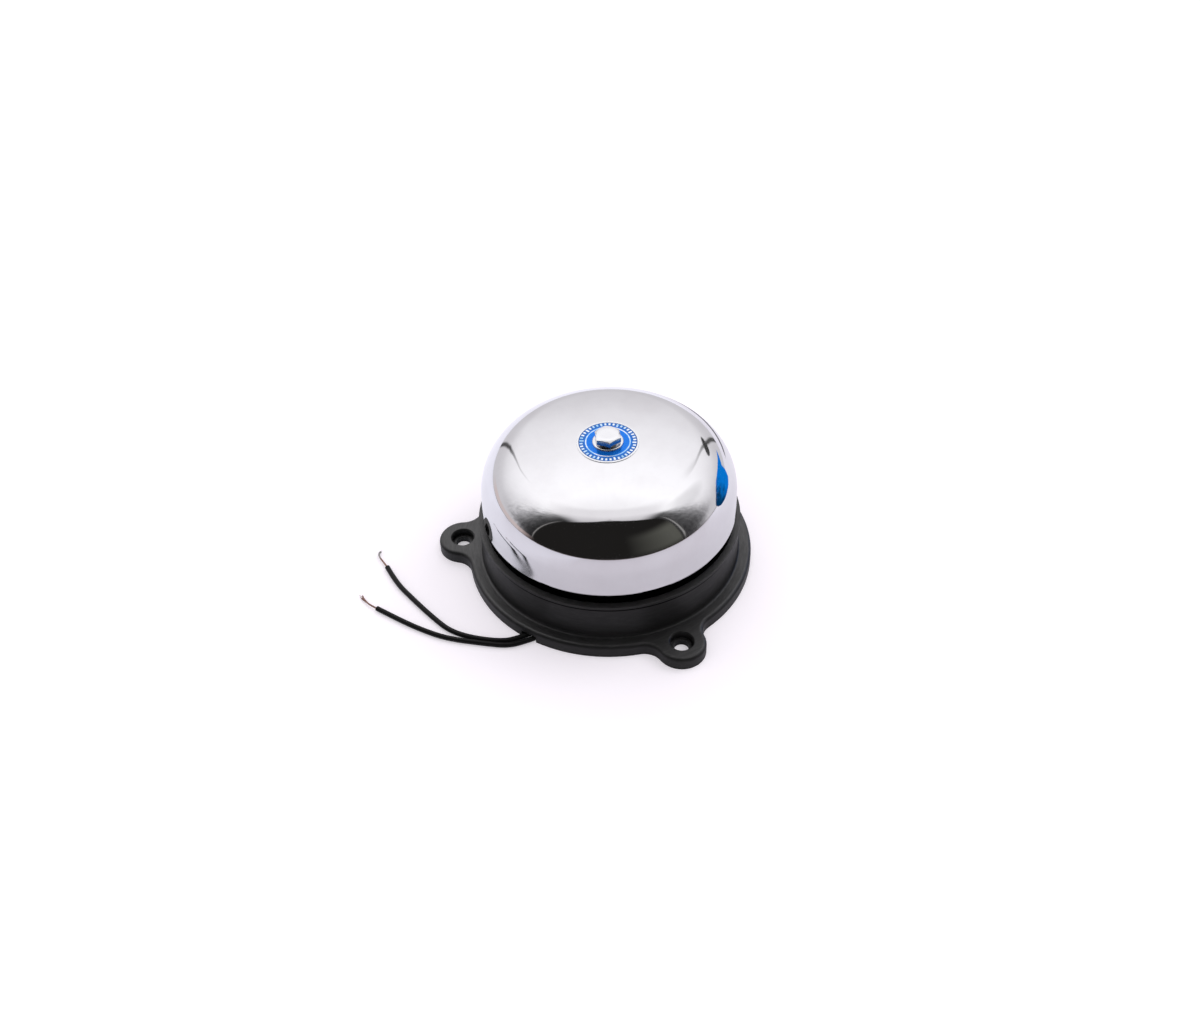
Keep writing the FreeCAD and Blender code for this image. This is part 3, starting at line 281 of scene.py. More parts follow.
def polar(radius, angle):
    return radius * math.cos(angle), radius * math.sin(angle)


def round_box(node):
    """Outer radius, bottom and top of a round CAD node, in millimetres."""
    low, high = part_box(node)
    return high.x / MM, low.z / MM, high.z / MM


def ring_points(count, start=0.0):
    """Evenly spaced angles, in radians."""
    return [math.radians(start) + 2 * math.pi * n / count for n in range(count)]


def arc(centre, radius, start, end, count):
    """Points of an arc in a profile of (radius, height), angles from the outward direction."""
    turns = [math.radians(start + (end - start) * n / (count - 1)) for n in range(count)]
    return [(centre[0] + radius * math.cos(t), centre[1] + radius * math.sin(t)) for t in turns]


def bridge(bm, lower, upper):
    """Faces between two rings, either of which may be a single point."""
    count = max(len(lower), len(upper))
    for n in range(count):
        following = (n + 1) % count
        corners = [lower[n % len(lower)], lower[following % len(lower)],
                   upper[following % len(upper)], upper[n % len(upper)]]
        unique = list(dict.fromkeys(corners))
        if len(unique) > 2:
            bm.faces.new(unique)


def turned(outline, segments, closed=True):
    """Surface turned about Z from an outline of (radius, height), in millimetres."""
    bm = bmesh.new()
    rings = []
    for radius, height in outline:
        angles = ring_points(segments) if radius else [0.0]
        rings.append([bm.verts.new((*polar(radius * MM, angle), height * MM)) for angle in angles])
    following = rings[1:] + rings[:1] if closed else rings[1:]
    for lower, upper in zip(rings, following):
        bridge(bm, lower, upper)
    bmesh.ops.recalc_face_normals(bm, faces=bm.faces)
    return bm


def skin(bm, rings):
    """Close a body of rings, with a face at each end."""
    for lower, upper in zip(rings, rings[1:]):
        bridge(bm, lower, upper)
    for ring in (rings[0], rings[-1]):
        bm.faces.new(ring)
    bmesh.ops.recalc_face_normals(bm, faces=bm.faces)


def lay_along_x(bm, place):
    """Turn a piece made about Z to lie about X, with its own Z = 0 at the given place."""
    matrix = Matrix.Translation(vector(place)) @ Matrix.Rotation(math.radians(90), 4, "Y")
    bm.transform(matrix)


def tube(path, radius, sides=12):
    """Round tube along close points, with closed ends."""
    bm = bmesh.new()
    rings = []
    across = None
    for n, point in enumerate(path):
        way = (path[min(n + 1, len(path) - 1)] - path[max(n - 1, 0)]).normalized()
        if across is None:
            across = way.orthogonal().normalized()
        across = (across - way * across.dot(way)).normalized()
        side = way.cross(across)
        ring = []
        for angle in ring_points(sides):
            offset = across * math.cos(angle) + side * math.sin(angle)
            ring.append(bm.verts.new((point + offset * radius) * MM))
        rings.append(ring)
    skin(bm, rings)
    return bm


def new_mesh(name, bm):
    mesh = bpy.data.meshes.new(name)
    bm.to_mesh(mesh)
    bm.free()
    return mesh


def new_object(name, data):
    made = bpy.data.objects.new(name, data)
    bpy.context.scene.collection.objects.link(made)
    return made


def set_piece(name, data, slot, node):
    """Add a piece in its slot's material, riding on the base, in place of its CAD node."""
    piece = new_object(name, data)
    data.materials.append(MATERIALS[slot])
    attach(piece, "base")
    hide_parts(node)
    return piece


def add_piece(name, bm, slot, node, sharp_angle=35.0):
    """Add a mesh piece, smooth but for its sharp corners."""
    mesh = new_mesh(name, bm)
    mesh.shade_smooth()
    mesh.set_sharp_from_angle(angle=math.radians(sharp_angle))
    return set_piece(name, mesh, slot, node)


# ---- shader helpers ----

class Shader:
    """A node tree with short ways to add nodes that are joined as they are made."""

    def __init__(self, tree):
        self.tree = tree
        self.tree.nodes.clear()

    def join(self, value, socket):
        """Link an output to a socket, or set the socket's own value, a colour without its alpha."""
        if isinstance(value, bpy.types.NodeSocket):
            self.tree.links.new(value, socket)
        else:
            socket.default_value = (*value, 1.0) if socket.type == "RGBA" else value

    def add(self, kind, settings=None, **inputs):
        node = self.tree.nodes.new("ShaderNode" + kind)
        for name, value in (settings or {}).items():
            setattr(node, name, value)
        for name, value in inputs.items():
            self.join(value, node.inputs[name.replace("_", " ")])
        return node

    def math(self, operation, *values):
        node = self.add("Math", {"operation": operation})
        for value, socket in zip(values, node.inputs):
            self.join(value, socket)
        return node.outputs[0]

    def times(self, first, second):
        return self.math("MULTIPLY", first, second)

    def plus(self, first, second):
        return self.math("ADD", first, second)

    def minus(self, first, second):
        return self.math("SUBTRACT", first, second)

    def hypot(self, first, second):
        return self.math("SQRT", self.plus(self.times(first, first), self.times(second, second)))

    def vector_math(self, operation, *values, **named):
        node = self.add("VectorMath", {"operation": operation}, **named)
        for value, socket in zip(values, node.inputs):
            self.join(value, socket)
        single = operation in ("LENGTH", "DISTANCE", "DOT_PRODUCT")
        return node.outputs["Value" if single else "Vector"]

    def millimetres(self):
        """Place on the piece at rest, in millimetres."""
        place = self.add("TexCoord").outputs["Object"]
        return self.vector_math("SCALE", place, Scale=1 / MM)

    def split(self, vector_socket):
        return self.add("SeparateXYZ", Vector=vector_socket).outputs[:3]

    def combine(self, x, y, z):
        return self.add("CombineXYZ", X=x, Y=y, Z=z).outputs[0]

    def noise(self, place, scale, detail=3.0, roughness=0.5):
        return self.add("TexNoise", Vector=place, Scale=scale, Detail=detail,
                        Roughness=roughness).outputs[0]

    def fit(self, value, low, high, new_low=0.0, new_high=1.0, smooth=False):
        """Map a range of values to another, held at its ends."""
        kind = "SMOOTHSTEP" if smooth else "LINEAR"
        node = self.add("MapRange", {"interpolation_type": kind}, Value=value,
                        From_Min=low, From_Max=high, To_Min=new_low, To_Max=new_high)
        return node.outputs[0]

    def ramp(self, value, stops):
        """Pass through (value, colour or brightness) stops, straight between them."""
        first, last = stops[0][0], stops[-1][0]
        node = self.add("ValToRGB", Fac=self.fit(value, first, last))
        elements = node.color_ramp.elements
        while len(elements) < len(stops):
            elements.new(0.5)
        for element, (place, tone) in zip(elements, stops):
            element.position = (place - first) / (last - first)
            element.color = (*tone, 1.0) if isinstance(tone, tuple) else (tone, tone, tone, 1.0)
        return node.outputs[0]

    def band(self, value, low, high, soft):
        """1 between two values and 0 outside them, with soft edges."""
        rising = self.fit(value, low - soft, low + soft, smooth=True)
        falling = self.fit(value, high - soft, high + soft, 1.0, 0.0, smooth=True)
        return self.times(rising, falling)

    def mix(self, factor, first, second):
        node = self.add("Mix", {"data_type": "RGBA"})
        for value, socket in ((factor, 0), (first, 6), (second, 7)):
            self.join(value, node.inputs[socket])
        return node.outputs[2]

    def bump(self, height, distance, normal=None):
        """Bump whose distance is the height in millimetres of a value of 1."""
        node = self.add("Bump", Height=height, Distance=distance * MM, Strength=1.0)
        if normal is not None:
            self.join(normal, node.inputs["Normal"])
        return node.outputs[0]

    def rounded(self, radius, samples=4):
        """Normal that rounds sharp corners, by a radius in millimetres."""
        return self.add("Bevel", {"samples": samples}, Radius=radius * MM).outputs[0]

    def join_shaders(self, kind, first, second, **inputs):
        """Add or mix two shader nodes, whose sockets share one name."""
        node = self.add(kind, **inputs)
        sockets = [socket for socket in node.inputs if socket.type == "SHADER"]
        for source, socket in zip((first, second), sockets):
            self.join(source.outputs[0], socket)
        return node

    def surface(self, node):
        self.add("OutputMaterial", Surface=node.outputs[0])

    def principled(self, **inputs):
        node = self.add("BsdfPrincipled", **inputs)
        self.surface(node)
        return node


def new_shader(name):
    """A new material, its shader, and the place on the piece in millimetres."""
    material = bpy.data.materials.new(name)
    material.use_nodes = True
    sh = Shader(material.node_tree)
    return material, sh, sh.millimetres()


# ---- camera and room ----

def aimed(place, target):
    """Matrix of a camera or lamp at a place, looking at a target."""
    way = vector(target) - vector(place)
    return Matrix.Translation(vector(place)) @ way.to_track_quat("-Z", "Y").to_matrix().to_4x4()


def make_camera():
    data = bpy.data.cameras.new("camera")
    data.sensor_fit = "HORIZONTAL"
    data.sensor_width = SENSOR_WIDTH
    data.lens = CAMERA_LENS
    data.clip_start, data.clip_end = CAMERA_CLIP
    camera = new_object("camera", data)
    roll = Matrix.Rotation(math.radians(CAMERA_ROLL), 4, "Z")
    camera.matrix_world = aimed(CAMERA_PLACE, CAMERA_TARGET) @ roll
    bpy.context.scene.camera = camera


def floor_lift(sh, place, path, kept):
    """The floor's own light: white for the camera, and stronger in the mirror behind and at left."""
    x, y, _ = sh.split(place)
    glossy = path.outputs["Is Glossy Ray"]
    # Painted shade: the floor's own light grows away from the bell, so the floor round it reads darker.
    far = sh.fit(sh.vector_math("LENGTH", place), *FLOOR_FAR, FLOOR_LIFT, FLOOR_LIFT + FLOOR_FAR_LIFT)
    seen = sh.times(path.outputs["Is Camera Ray"], far)
    behind = sh.fit(y, *MIRRORED_BEHIND, 0.0, MIRRORED_LIFT)
    left = sh.fit(sh.minus(sh.times(y, MIRRORED_SLANT), x), *MIRRORED_LEFT, 0.0, MIRRORED_LIFT)
    mirrored = sh.times(glossy, sh.plus(MIRRORED_LEAST, sh.plus(behind, left)))
    tone = sh.mix(glossy, (1.0, 0.985, 1.0), (0.90, 1.0, 1.12))
    return sh.add("Emission", Color=tone, Strength=sh.plus(seen, sh.times(mirrored, kept)))


def floor_material():
    """Pale matt floor that keeps the shadow, with a dark band painted only into what metal mirrors of
    it.
    """
    material, sh, place = new_shader("floor")
    x, y, _ = sh.split(place)
    path = sh.add("LightPath")
    tone = sh.mix(sh.noise(place, 0.8, detail=4.0), (0.785, 0.733, 0.785),
                  (0.815, 0.762, 0.815))
    # Painted reflection: a dark band on the floor that only glossy rays see.
    off_x = sh.times(sh.minus(x, MIRROR_BAND_PLACE[0]), MIRROR_BAND_WAY[0])
    off_y = sh.times(sh.minus(y, MIRROR_BAND_PLACE[1]), MIRROR_BAND_WAY[1])
    edge = sh.band(sh.plus(off_x, off_y), *MIRROR_BAND_SHADE)
    edge = sh.times(edge, sh.band(x, *MIRROR_BAND_SPAN))
    shade = sh.times(sh.times(edge, path.outputs["Is Glossy Ray"]), MIRROR_BAND_DEPTH)
    kept = sh.minus(1.0, shade)
    matt = sh.add("BsdfDiffuse", Color=sh.mix(kept, (0.05, 0.045, 0.05), tone))
    lift = floor_lift(sh, place, path, kept)
    sh.surface(sh.join_shaders("AddShader", matt, lift))
    return material


def make_floor():
    bm = bmesh.new()
    bmesh.ops.create_grid(bm, x_segments=8, y_segments=8, size=FLOOR_SIZE * MM / 2)
    mesh = new_mesh("floor", bm)
    floor = new_object("floor", mesh)
    floor.location.z = -FLOOR_DROP * MM
    mesh.materials.append(floor_material())


def around_edges(sh, aside, height, rightward):
    """How far a direction lies outside the dark room, whose sides lean outwards, in degrees."""
    lean = sh.math("POWER", sh.fit(height, 0.0, LEAN_TOP), LEAN_POWER)
    side_lean = sh.plus(LEFT_LEAN, sh.times(rightward, ROOM_LEAN - LEFT_LEAN))
    reach = sh.plus(ROOM_HALF_WIDTH, sh.times(lean, side_lean))
    centred = sh.math("ABSOLUTE", sh.minus(aside, ROOM_MIDDLE))
    outside = sh.minus(centred, reach)
    low = sh.times(sh.fit(height, *LOW_BORDER_HEIGHTS), sh.fit(rightward, 0.0, 1.0, *LOW_BORDER_GAIN))
    high = sh.times(sh.times(lean, rightward), HIGH_BORDER_GAIN)
    faster = sh.plus(sh.plus(low, high), 1.0)
    return sh.times(outside, faster), sh.math("DIVIDE", centred, reach)


def soft_spot(sh, aside, height, centre, width):
    """1 at the middle of a soft oval patch of the room and 0 around it."""
    off_x = sh.math("DIVIDE", sh.minus(aside, centre[0]), width[0])
    off_z = sh.math("DIVIDE", sh.minus(height, centre[1]), width[1])
    off = sh.plus(sh.times(off_x, off_x), sh.times(off_z, off_z))
    return sh.fit(off, 0.0, 1.0, 1.0, 0.0, smooth=True)


def paper_tone(sh, aside, height, rightward, outside):
    """Paper: a bright belt above the backdrop, fading in folds towards the dark room's sides."""
    fade = sh.mix(rightward, sh.ramp(outside, LEFT_FADE), sh.ramp(outside, RIGHT_FADE))
    folds = sh.noise(sh.combine(aside, sh.times(height, FOLD_STRETCH), 0.0), 0.4, detail=5.0,
                     roughness=0.65)
    folds = sh.times(sh.fit(folds, 0.3, 0.7, -FOLD_DEPTH, FOLD_DEPTH),
                     sh.fit(outside, *FOLD_REACH, 1.0, 0.05))
    fade = sh.times(fade, sh.plus(folds, 1.0))
    tone = sh.mix(fade, BLACK, sh.ramp(height, PAPER_BY_HEIGHT))
    shade = sh.times(soft_spot(sh, aside, height, DIM_PATCH, DIM_PATCH_SIZE), DIM_PATCH_DEPTH)
    tone = sh.mix(shade, tone, BLACK)
    edge = sh.mix(rightward, sh.band(outside, *LEFT_STREAK), sh.band(outside, *RIGHT_STREAK))
    edge = sh.times(edge, sh.band(height, *STREAK_HEIGHTS))
    streak = sh.mix(rightward, (0.30, 0.29, 0.28), (0.42, 0.41, 0.40))
    return sh.mix(edge, tone, streak)


def backdrop_marks(sh, aside, height, rightward, tone):
    """The backdrop's two dark edges and the clip that holds it."""
    shift = sh.fit(height, *BACKDROP_SHIFT_HEIGHTS, 0.0, BACKDROP_LEFT_SHIFT)
    half = sh.plus(sh.ramp(height, BACKDROP_BY_HEIGHT), sh.times(shift, sh.minus(1.0, rightward)))
    off_back = sh.minus(sh.minus(180.0, sh.math("ABSOLUTE", aside)), half)
    line = sh.fit(sh.math("ABSOLUTE", off_back), *BACKDROP_LINE, 1.0, 0.0)
    line = sh.times(line, sh.fit(height, *BACKDROP_LINE_FADE, 0.95, 0.0))
    clip = sh.fit(soft_spot(sh, aside, height, BACKDROP_CLIP, BACKDROP_CLIP_SIZE), 0.3, 0.5)
    return sh.mix(sh.math("MAXIMUM", line, clip), tone, (0.07, 0.07, 0.07))


def overhead_tone(sh, y, height, tone):
    """Paper overhead, greyer towards the front."""
    overhead = sh.mix(sh.fit(y, -0.15, 0.1), (0.70, 0.68, 0.70), (1.10, 1.075, 1.10))
    return sh.mix(sh.fit(height, *OVERHEAD_HEIGHTS, smooth=True), tone, overhead)


def dark_room(sh, aside, height, across, tone):
    """The dark room in front, with rounded upper corners and one dim panel at its right."""
    up = sh.fit(height, ROOM_CORNER_FROM, ROOM_TOP)
    reach = sh.plus(*(sh.math("POWER", side, ROOM_CORNER_POWER) for side in (across, up)))
    dim = sh.times(sh.fit(aside, *PANEL_SIDE), sh.band(height, *PANEL_HEIGHTS))
    inside = sh.mix(dim, (0.017, 0.016, 0.015), (0.125, 0.125, 0.108))
    return sh.mix(sh.fit(reach, *ROOM_BORDER, 1.0, 0.0, smooth=True), tone, inside)


def table_marks(sh, aside, height, tone):
    """Warm paper low at the left, the thin dark line of the table's far edge, and the table."""
    warm = sh.times(sh.band(height, *WARM_HEIGHTS), sh.band(aside, *WARM_SIDE))
    tone = sh.mix(sh.times(warm, 0.6), tone, (0.80, 0.62, 0.58))
    in_front = sh.fit(sh.math("ABSOLUTE", aside), *TABLE_LINE_ENDS)
    edge_line = sh.times(sh.band(height, *TABLE_LINE), in_front)
    tone = sh.mix(sh.times(edge_line, 0.7), tone, (0.22, 0.16, 0.14))
    return sh.mix(sh.fit(height, -1.5, -0.5), (0.8, 0.79, 0.82), tone)


def room_light(sh, way):
    """Colour of the studio in each direction: white paper behind and above, a dark room in front."""
    turned_way = sh.add("VectorRotate", {"rotation_type": "Z_AXIS"}, Vector=way,
                        Angle=-math.radians(ROOM_TURN)).outputs[0]
    x, y, z = sh.split(turned_way)
    aside = sh.math("DEGREES", sh.math("ARCTAN2", x, sh.times(y, -1.0)))
    height = sh.math("DEGREES", sh.math("ARCSINE", z))
    rightward = sh.math("GREATER_THAN", aside, 0.0)
    outside, across = around_edges(sh, aside, height, rightward)
    tone = paper_tone(sh, aside, height, rightward, outside)
    tone = backdrop_marks(sh, aside, height, rightward, tone)
    tone = overhead_tone(sh, y, height, tone)
    tone = dark_room(sh, aside, height, across, tone)
    return table_marks(sh, aside, height, tone)


def card_material():
    """Blue card that glows, with light painted brighter towards its far end."""
    material, sh, place = new_shader("blue_card")
    patchy = sh.noise(place, 0.05, detail=4.0)
    lit = sh.plus(sh.split(place)[0], sh.fit(patchy, 0.3, 0.7, -25.0, 25.0))
    tone = sh.mix(sh.fit(lit, -35.0, 15.0), (0.002, 0.05, 0.15), (0.003, 0.24, 0.85))
    sh.surface(sh.add("Emission", Color=tone, Strength=1.0))
    return material


def make_card():
    """Card that only the polished metal shows."""
    bm = bmesh.new()
    bm.faces.new([bm.verts.new((across * MM, 0, height * MM)) for across, height in CARD_OUTLINE])
    mesh = new_mesh("blue_card", bm)
    card = new_object("blue_card", mesh)
    turn = Matrix.Rotation(math.radians(CARD_TURN), 4, "Z")
    card.matrix_world = Matrix.Translation(vector(CARD_PLACE)) @ turn
    mesh.materials.append(card_material())
    card.visible_camera = card.visible_diffuse = card.visible_shadow = False


def make_world():
    """Even soft light, white for the camera, and the studio room in what the metal reflects."""
    world = bpy.data.worlds.new("studio")
    world.use_nodes = True
    world.cycles.sampling_method = "NONE"
    bpy.context.scene.world = world
    sh = Shader(world.node_tree)
    way = sh.add("TexCoord").outputs["Generated"]
    path = sh.add("LightPath")
    soft = sh.add("Background", Color=(0.97, 0.97, 1.0), Strength=0.80)
    room = sh.add("Background", Color=room_light(sh, way), Strength=1.0)
    paper = sh.add("Background", Color=(1.0, 1.0, 1.0), Strength=1.0)
    lit = sh.join_shaders("MixShader", soft, room, Fac=path.outputs["Is Glossy Ray"])
    seen = sh.math("MAXIMUM", path.outputs["Is Camera Ray"], path.outputs["Is Transmission Ray"])
    choice = sh.join_shaders("MixShader", lit, paper, Fac=seen)
    sh.add("OutputWorld", Surface=choice.outputs[0])


def make_lamp(name, place, size, power):
    """Soft lamp that doesn't show in the polished metal."""
    data = bpy.data.lights.new(name, "AREA")
    data.shape = "SQUARE"
    data.size = size * MM
    data.energy = power
    lamp = new_object(name, data)
    lamp.matrix_world = aimed(place, LAMP_TARGET)
    lamp.visible_glossy = lamp.visible_camera = False


# ---- materials ----

def black_moulding():
    """Black moulding: level faces shinier than walls as painted sheen, painted shade in corners and
    under the lip, and slightly worn edges.
    """
    material, sh, place = new_shader("black_moulding")
    cloud = sh.noise(place, 0.05, detail=3.0)
    fine = sh.noise(place, 5.0, detail=4.0)
    dust = sh.fit(sh.noise(place, 1.3, detail=6.0, roughness=0.7), 0.62, 0.78)
    base = sh.mix(cloud, (0.006, 0.006, 0.006), (0.010, 0.0098, 0.0095))
    dusty = sh.mix(sh.times(dust, 0.2), base, (0.05, 0.048, 0.047))
    x, y, z = sh.split(place)
    radius = sh.hypot(x, y)
    angle = sh.times(sh.math("ARCTAN2", y, x), SCUFF_LENGTHS)
    scuffs = sh.noise(sh.combine(angle, radius, z), 1.6, detail=5.0, roughness=0.7)
    geometry = sh.add("NewGeometry")
    worn = sh.math("MAXIMUM", sh.fit(geometry.outputs["Pointiness"], 0.52, 0.58),
                   sh.fit(scuffs, 0.52, 0.74))
    tone = sh.mix(sh.times(worn, 0.2), dusty, (0.035, 0.034, 0.033))
    # Painted sheen by facing: the more level a face, the more shine it gets.
    level = sh.fit(sh.split(geometry.outputs["Normal"])[2], 0.6, 0.98)
    # Painted shade: corners lose their shine by ambient occlusion.
    corner = sh.add("AmbientOcclusion", {"samples": 6}, Distance=CORNER_SHADE_REACH * MM)
    clear = sh.fit(corner.outputs["AO"], 0.3, 0.85)
    # Painted shade: a band under the drum's lip, measured down from the gong's rim, is near black and
    # loses its shine.
    below_rim = sh.minus(round_box("gong")[1], z)
    groove_shade = sh.band(below_rim, *LIP_GROOVE_SHADE, 0.07)
    clear = sh.times(clear, sh.fit(groove_shade, 0.0, 1.0, 1.0, 0.05))
    tone = sh.mix(groove_shade, tone, (0.001, 0.001, 0.001))
    shine = sh.times(sh.fit(level, 0.0, 1.0, WALL_SHINE, LEVEL_SHINE), clear)
    shine = sh.times(shine, sh.fit(scuffs, 0.3, 0.7, 0.8, 1.25))
    rough = sh.fit(sh.plus(cloud, sh.times(fine, 0.4)), 0.4, 1.0, 0.42, 0.54)
    normal = sh.bump(fine, 0.006, sh.rounded(0.25, samples=6))
    sh.principled(Base_Color=tone, Roughness=rough, IOR=1.6, Specular_IOR_Level=shine, Normal=normal)
    return material


def chrome(name, low, high):
    """Polished plating, with faint turned lines and smudges in its polish."""
    material, sh, place = new_shader(name)
    x, y, z = sh.split(place)
    radius = sh.hypot(x, y)
    lines = sh.noise(sh.combine(radius, 0.0, z), 9.0, detail=5.0, roughness=0.65)
    smudge = sh.fit(sh.noise(place, 0.09, detail=5.0, roughness=0.6), 0.42, 0.75)
    sweep = sh.noise(place, 0.035, detail=1.0)
    rough = sh.fit(sh.plus(smudge, sh.times(lines, 0.35)), 0.1, 1.2, low, high)
    rim = round_box("gong")[1]
    scuff = sh.vector_math("DISTANCE", place, (*GONG_SCUFF[:2], GONG_SCUFF[2] + rim))
    rough = sh.plus(rough, sh.fit(scuff, *GONG_SCUFF_REACH, 0.0, GONG_SCUFF_DULL, smooth=True))
    tone = sh.mix(smudge, (0.70, 0.70, 0.715), (0.66, 0.655, 0.67))
    normal = sh.bump(lines, 0.0006)
    normal = sh.bump(sweep, 0.12, normal)
    sh.principled(Base_Color=tone, Metallic=1.0, Roughness=rough, Normal=normal)
    return material


def disc_print():
    """Print on bright metal: on blue, a ring of plain pale ticks round a thin pale ring."""
    material, sh, place = new_shader("disc_print")
    x, y, _ = sh.split(place)
    radius = sh.hypot(x, y)
    turns = sh.math("DIVIDE", sh.math("ARCTAN2", y, x), 2 * math.pi)
    count = sh.times(turns, float(TICK_COUNT))
    within = sh.math("ABSOLUTE", sh.minus(sh.math("FRACT", sh.plus(count, 0.5)), 0.5))
    slim = sh.fit(within, TICK_SHARE / 2 - 0.04, TICK_SHARE / 2 + 0.04, 1.0, 0.0)
    group = sh.math("FRACT", sh.plus(sh.math("DIVIDE", count, float(LONG_TICK_EVERY)), 0.5))
    long_tick = sh.math("LESS_THAN", sh.math("ABSOLUTE", sh.minus(group, 0.5)),
                        0.5 / LONG_TICK_EVERY)
    shorter = sh.times(sh.minus(1.0, long_tick), TICK_SHORTER)
    inner = sh.plus(TICK_INNER, shorter)
    reach = sh.times(sh.math("GREATER_THAN", radius, inner), sh.math("LESS_THAN", radius, TICK_OUTER))
    ticks = sh.times(slim, reach)
    ring = sh.band(radius, PRINT_RING_INNER, PRINT_RING_OUTER, 0.03)
    marks = sh.math("MAXIMUM", ticks, ring)
    wear = sh.fit(sh.noise(place, 2.2, detail=5.0), 0.35, 0.8)
    blue = sh.mix(wear, (0.002, 0.16, 0.70), (0.008, 0.22, 0.84))
    blue = sh.mix(sh.fit(radius, PRINT_RING_OUTER, TICK_INNER), blue, (0.02, 0.14, 0.48))
    border = sh.fit(radius, PRINT_OUTER - PRINT_BORDER, PRINT_OUTER - PRINT_BORDER / 2)
    blue = sh.mix(border, blue, (0.004, 0.03, 0.16))
    patchy = sh.fit(sh.noise(place, 0.35, detail=2.0), 0.42, 0.58)
    printed = sh.mix(marks, blue, sh.mix(patchy, (0.36, 0.62, 0.86), (0.86, 0.92, 0.98)))
    bare = sh.fit(radius, PRINT_OUTER - 0.03, PRINT_OUTER + 0.03)
    tone = sh.mix(bare, printed, (0.80, 0.81, 0.83))
    rough = sh.fit(wear, 0.0, 1.0, 0.20, 0.28)
    normal = sh.bump(sh.minus(1.0, bare), 0.01)
    sh.principled(Base_Color=tone, Metallic=0.5, Roughness=rough, Specular_IOR_Level=0.3,
                  Normal=normal)
    return material


def metal(name, tone, dull, low, high, grain=2.0, depth=0.004, stretch=(1.0, 1.0, 1.0), round_off=0.12):
    """Metal with drifting colour, uneven polish and a fine grain that may run one way."""
    material, sh, place = new_shader(name)
    drawn = sh.vector_math("MULTIPLY", place, stretch)
    cloud = sh.noise(place, 0.35, detail=4.0)
    fine = sh.noise(drawn, grain, detail=5.0, roughness=0.6)
    base = sh.mix(cloud, tone, dull)
    rough = sh.fit(sh.plus(cloud, sh.times(fine, 0.5)), 0.4, 1.1, low, high)
    rounded = sh.rounded(round_off) if round_off else None
    sh.principled(Base_Color=base, Metallic=1.0, Roughness=rough, Normal=sh.bump(fine, depth, rounded))
    return material


def plastic(name, tone, dull, low, high, grain=3.0, depth=0.005, soft=0.0, shine=0.5):
    """Moulded or extruded plastic. soft is how far light enters it, in millimetres."""
    material, sh, place = new_shader(name)
    cloud = sh.noise(place, 0.25, detail=3.0)
    fine = sh.noise(place, grain, detail=4.0)
    base = sh.mix(cloud, tone, dull)
    rough = sh.fit(fine, 0.3, 0.7, low, high)
    node = sh.principled(Base_Color=base, Roughness=rough, Specular_IOR_Level=shine,
                         Normal=sh.bump(fine, depth, sh.rounded(0.12)))
    if soft:
        node.inputs["Subsurface Weight"].default_value = 0.3
        node.inputs["Subsurface Radius"].default_value = (soft * MM, soft * MM, soft * MM * 0.7)
    return material


def strand_copper():
    """Fine bare wires: pinkish copper, tinned grey at the tips."""
    material, sh, place = new_shader("strand_copper")
    tip = sh.vector_math("DISTANCE", place, LONG_STRANDS[-1])
    tinned = sh.fit(tip, *TINNED_REACH, 1.0, 0.0, smooth=True)
    cloud = sh.noise(place, 1.6, detail=3.0)
    copper = sh.mix(cloud, (0.20, 0.11, 0.085), (0.38, 0.24, 0.20))
    tone = sh.mix(tinned, copper, (0.36, 0.35, 0.34))
    rough = sh.fit(cloud, 0.3, 0.7, 0.28, 0.5)
    sh.principled(Base_Color=tone, Metallic=1.0, Roughness=rough)
    return material


def coil_tape():
    """Yellow polyester tape, with the turns below it showing faintly."""
    material, sh, place = new_shader("coil_tape")
    turns = sh.math("SINE", sh.times(sh.split(place)[0], 2 * math.pi / TAPE_TURN_PITCH))
    wrinkle = sh.noise(sh.vector_math("MULTIPLY", place, (0.4, 1.0, 1.0)), 0.9, detail=3.0)
    base = sh.mix(wrinkle, (0.72, 0.42, 0.03), (0.83, 0.55, 0.07))
    height = sh.plus(wrinkle, sh.times(turns, 0.12))
    sh.principled(Base_Color=base, Roughness=0.26, Coat_Weight=0.4, Normal=sh.bump(height, 0.05))
    return material


def sleeve_plastic():
    """Braided insulating sleeve."""
    material, sh, place = new_shader("sleeve_plastic")
    x, y, z = sh.split(place)
    cross = sh.plus(y, z)
    first = sh.math("SINE", sh.times(sh.plus(x, cross), SLEEVE_BRAID))
    second = sh.math("SINE", sh.times(sh.minus(x, cross), SLEEVE_BRAID))
    braid = sh.times(first, second)
    tone = sh.mix(sh.fit(braid, -1, 1), (0.58, 0.55, 0.48), (0.78, 0.76, 0.70))
    sh.principled(Base_Color=tone, Roughness=0.62, Normal=sh.bump(braid, 0.03))
    return material


def diode_epoxy():
    """Black epoxy barrel with a pale band near one end, on tinned legs."""
    material, sh, place = new_shader("diode_epoxy")
    x, y, z = sh.split(place)
    low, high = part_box("rectifier_diode")
    middle = (low + high) / 2 / MM
    off_y = sh.minus(y, middle.y)
    off_z = sh.minus(z, middle.z)
    off = sh.hypot(off_y, off_z)
    ends = sh.math("ABSOLUTE", sh.minus(x, middle.x))
    leg = sh.times(sh.math("LESS_THAN", off, DIODE_LEG_RADIUS),
                   sh.math("GREATER_THAN", ends, DIODE_HALF_LENGTH))
    stripe = sh.band(x, *(middle.x + edge for edge in DIODE_STRIPE), 0.03)
    fine = sh.noise(place, 4.0)
    body = sh.mix(stripe, sh.mix(fine, (0.012, 0.012, 0.012), (0.024, 0.023, 0.022)),
                  (0.62, 0.62, 0.6))
    tone = sh.mix(leg, body, (0.62, 0.61, 0.6))
    sh.principled(Base_Color=tone, Metallic=leg, Roughness=sh.fit(fine, 0.3, 0.7, 0.3, 0.45),
                  Normal=sh.bump(fine, 0.006))
    return material


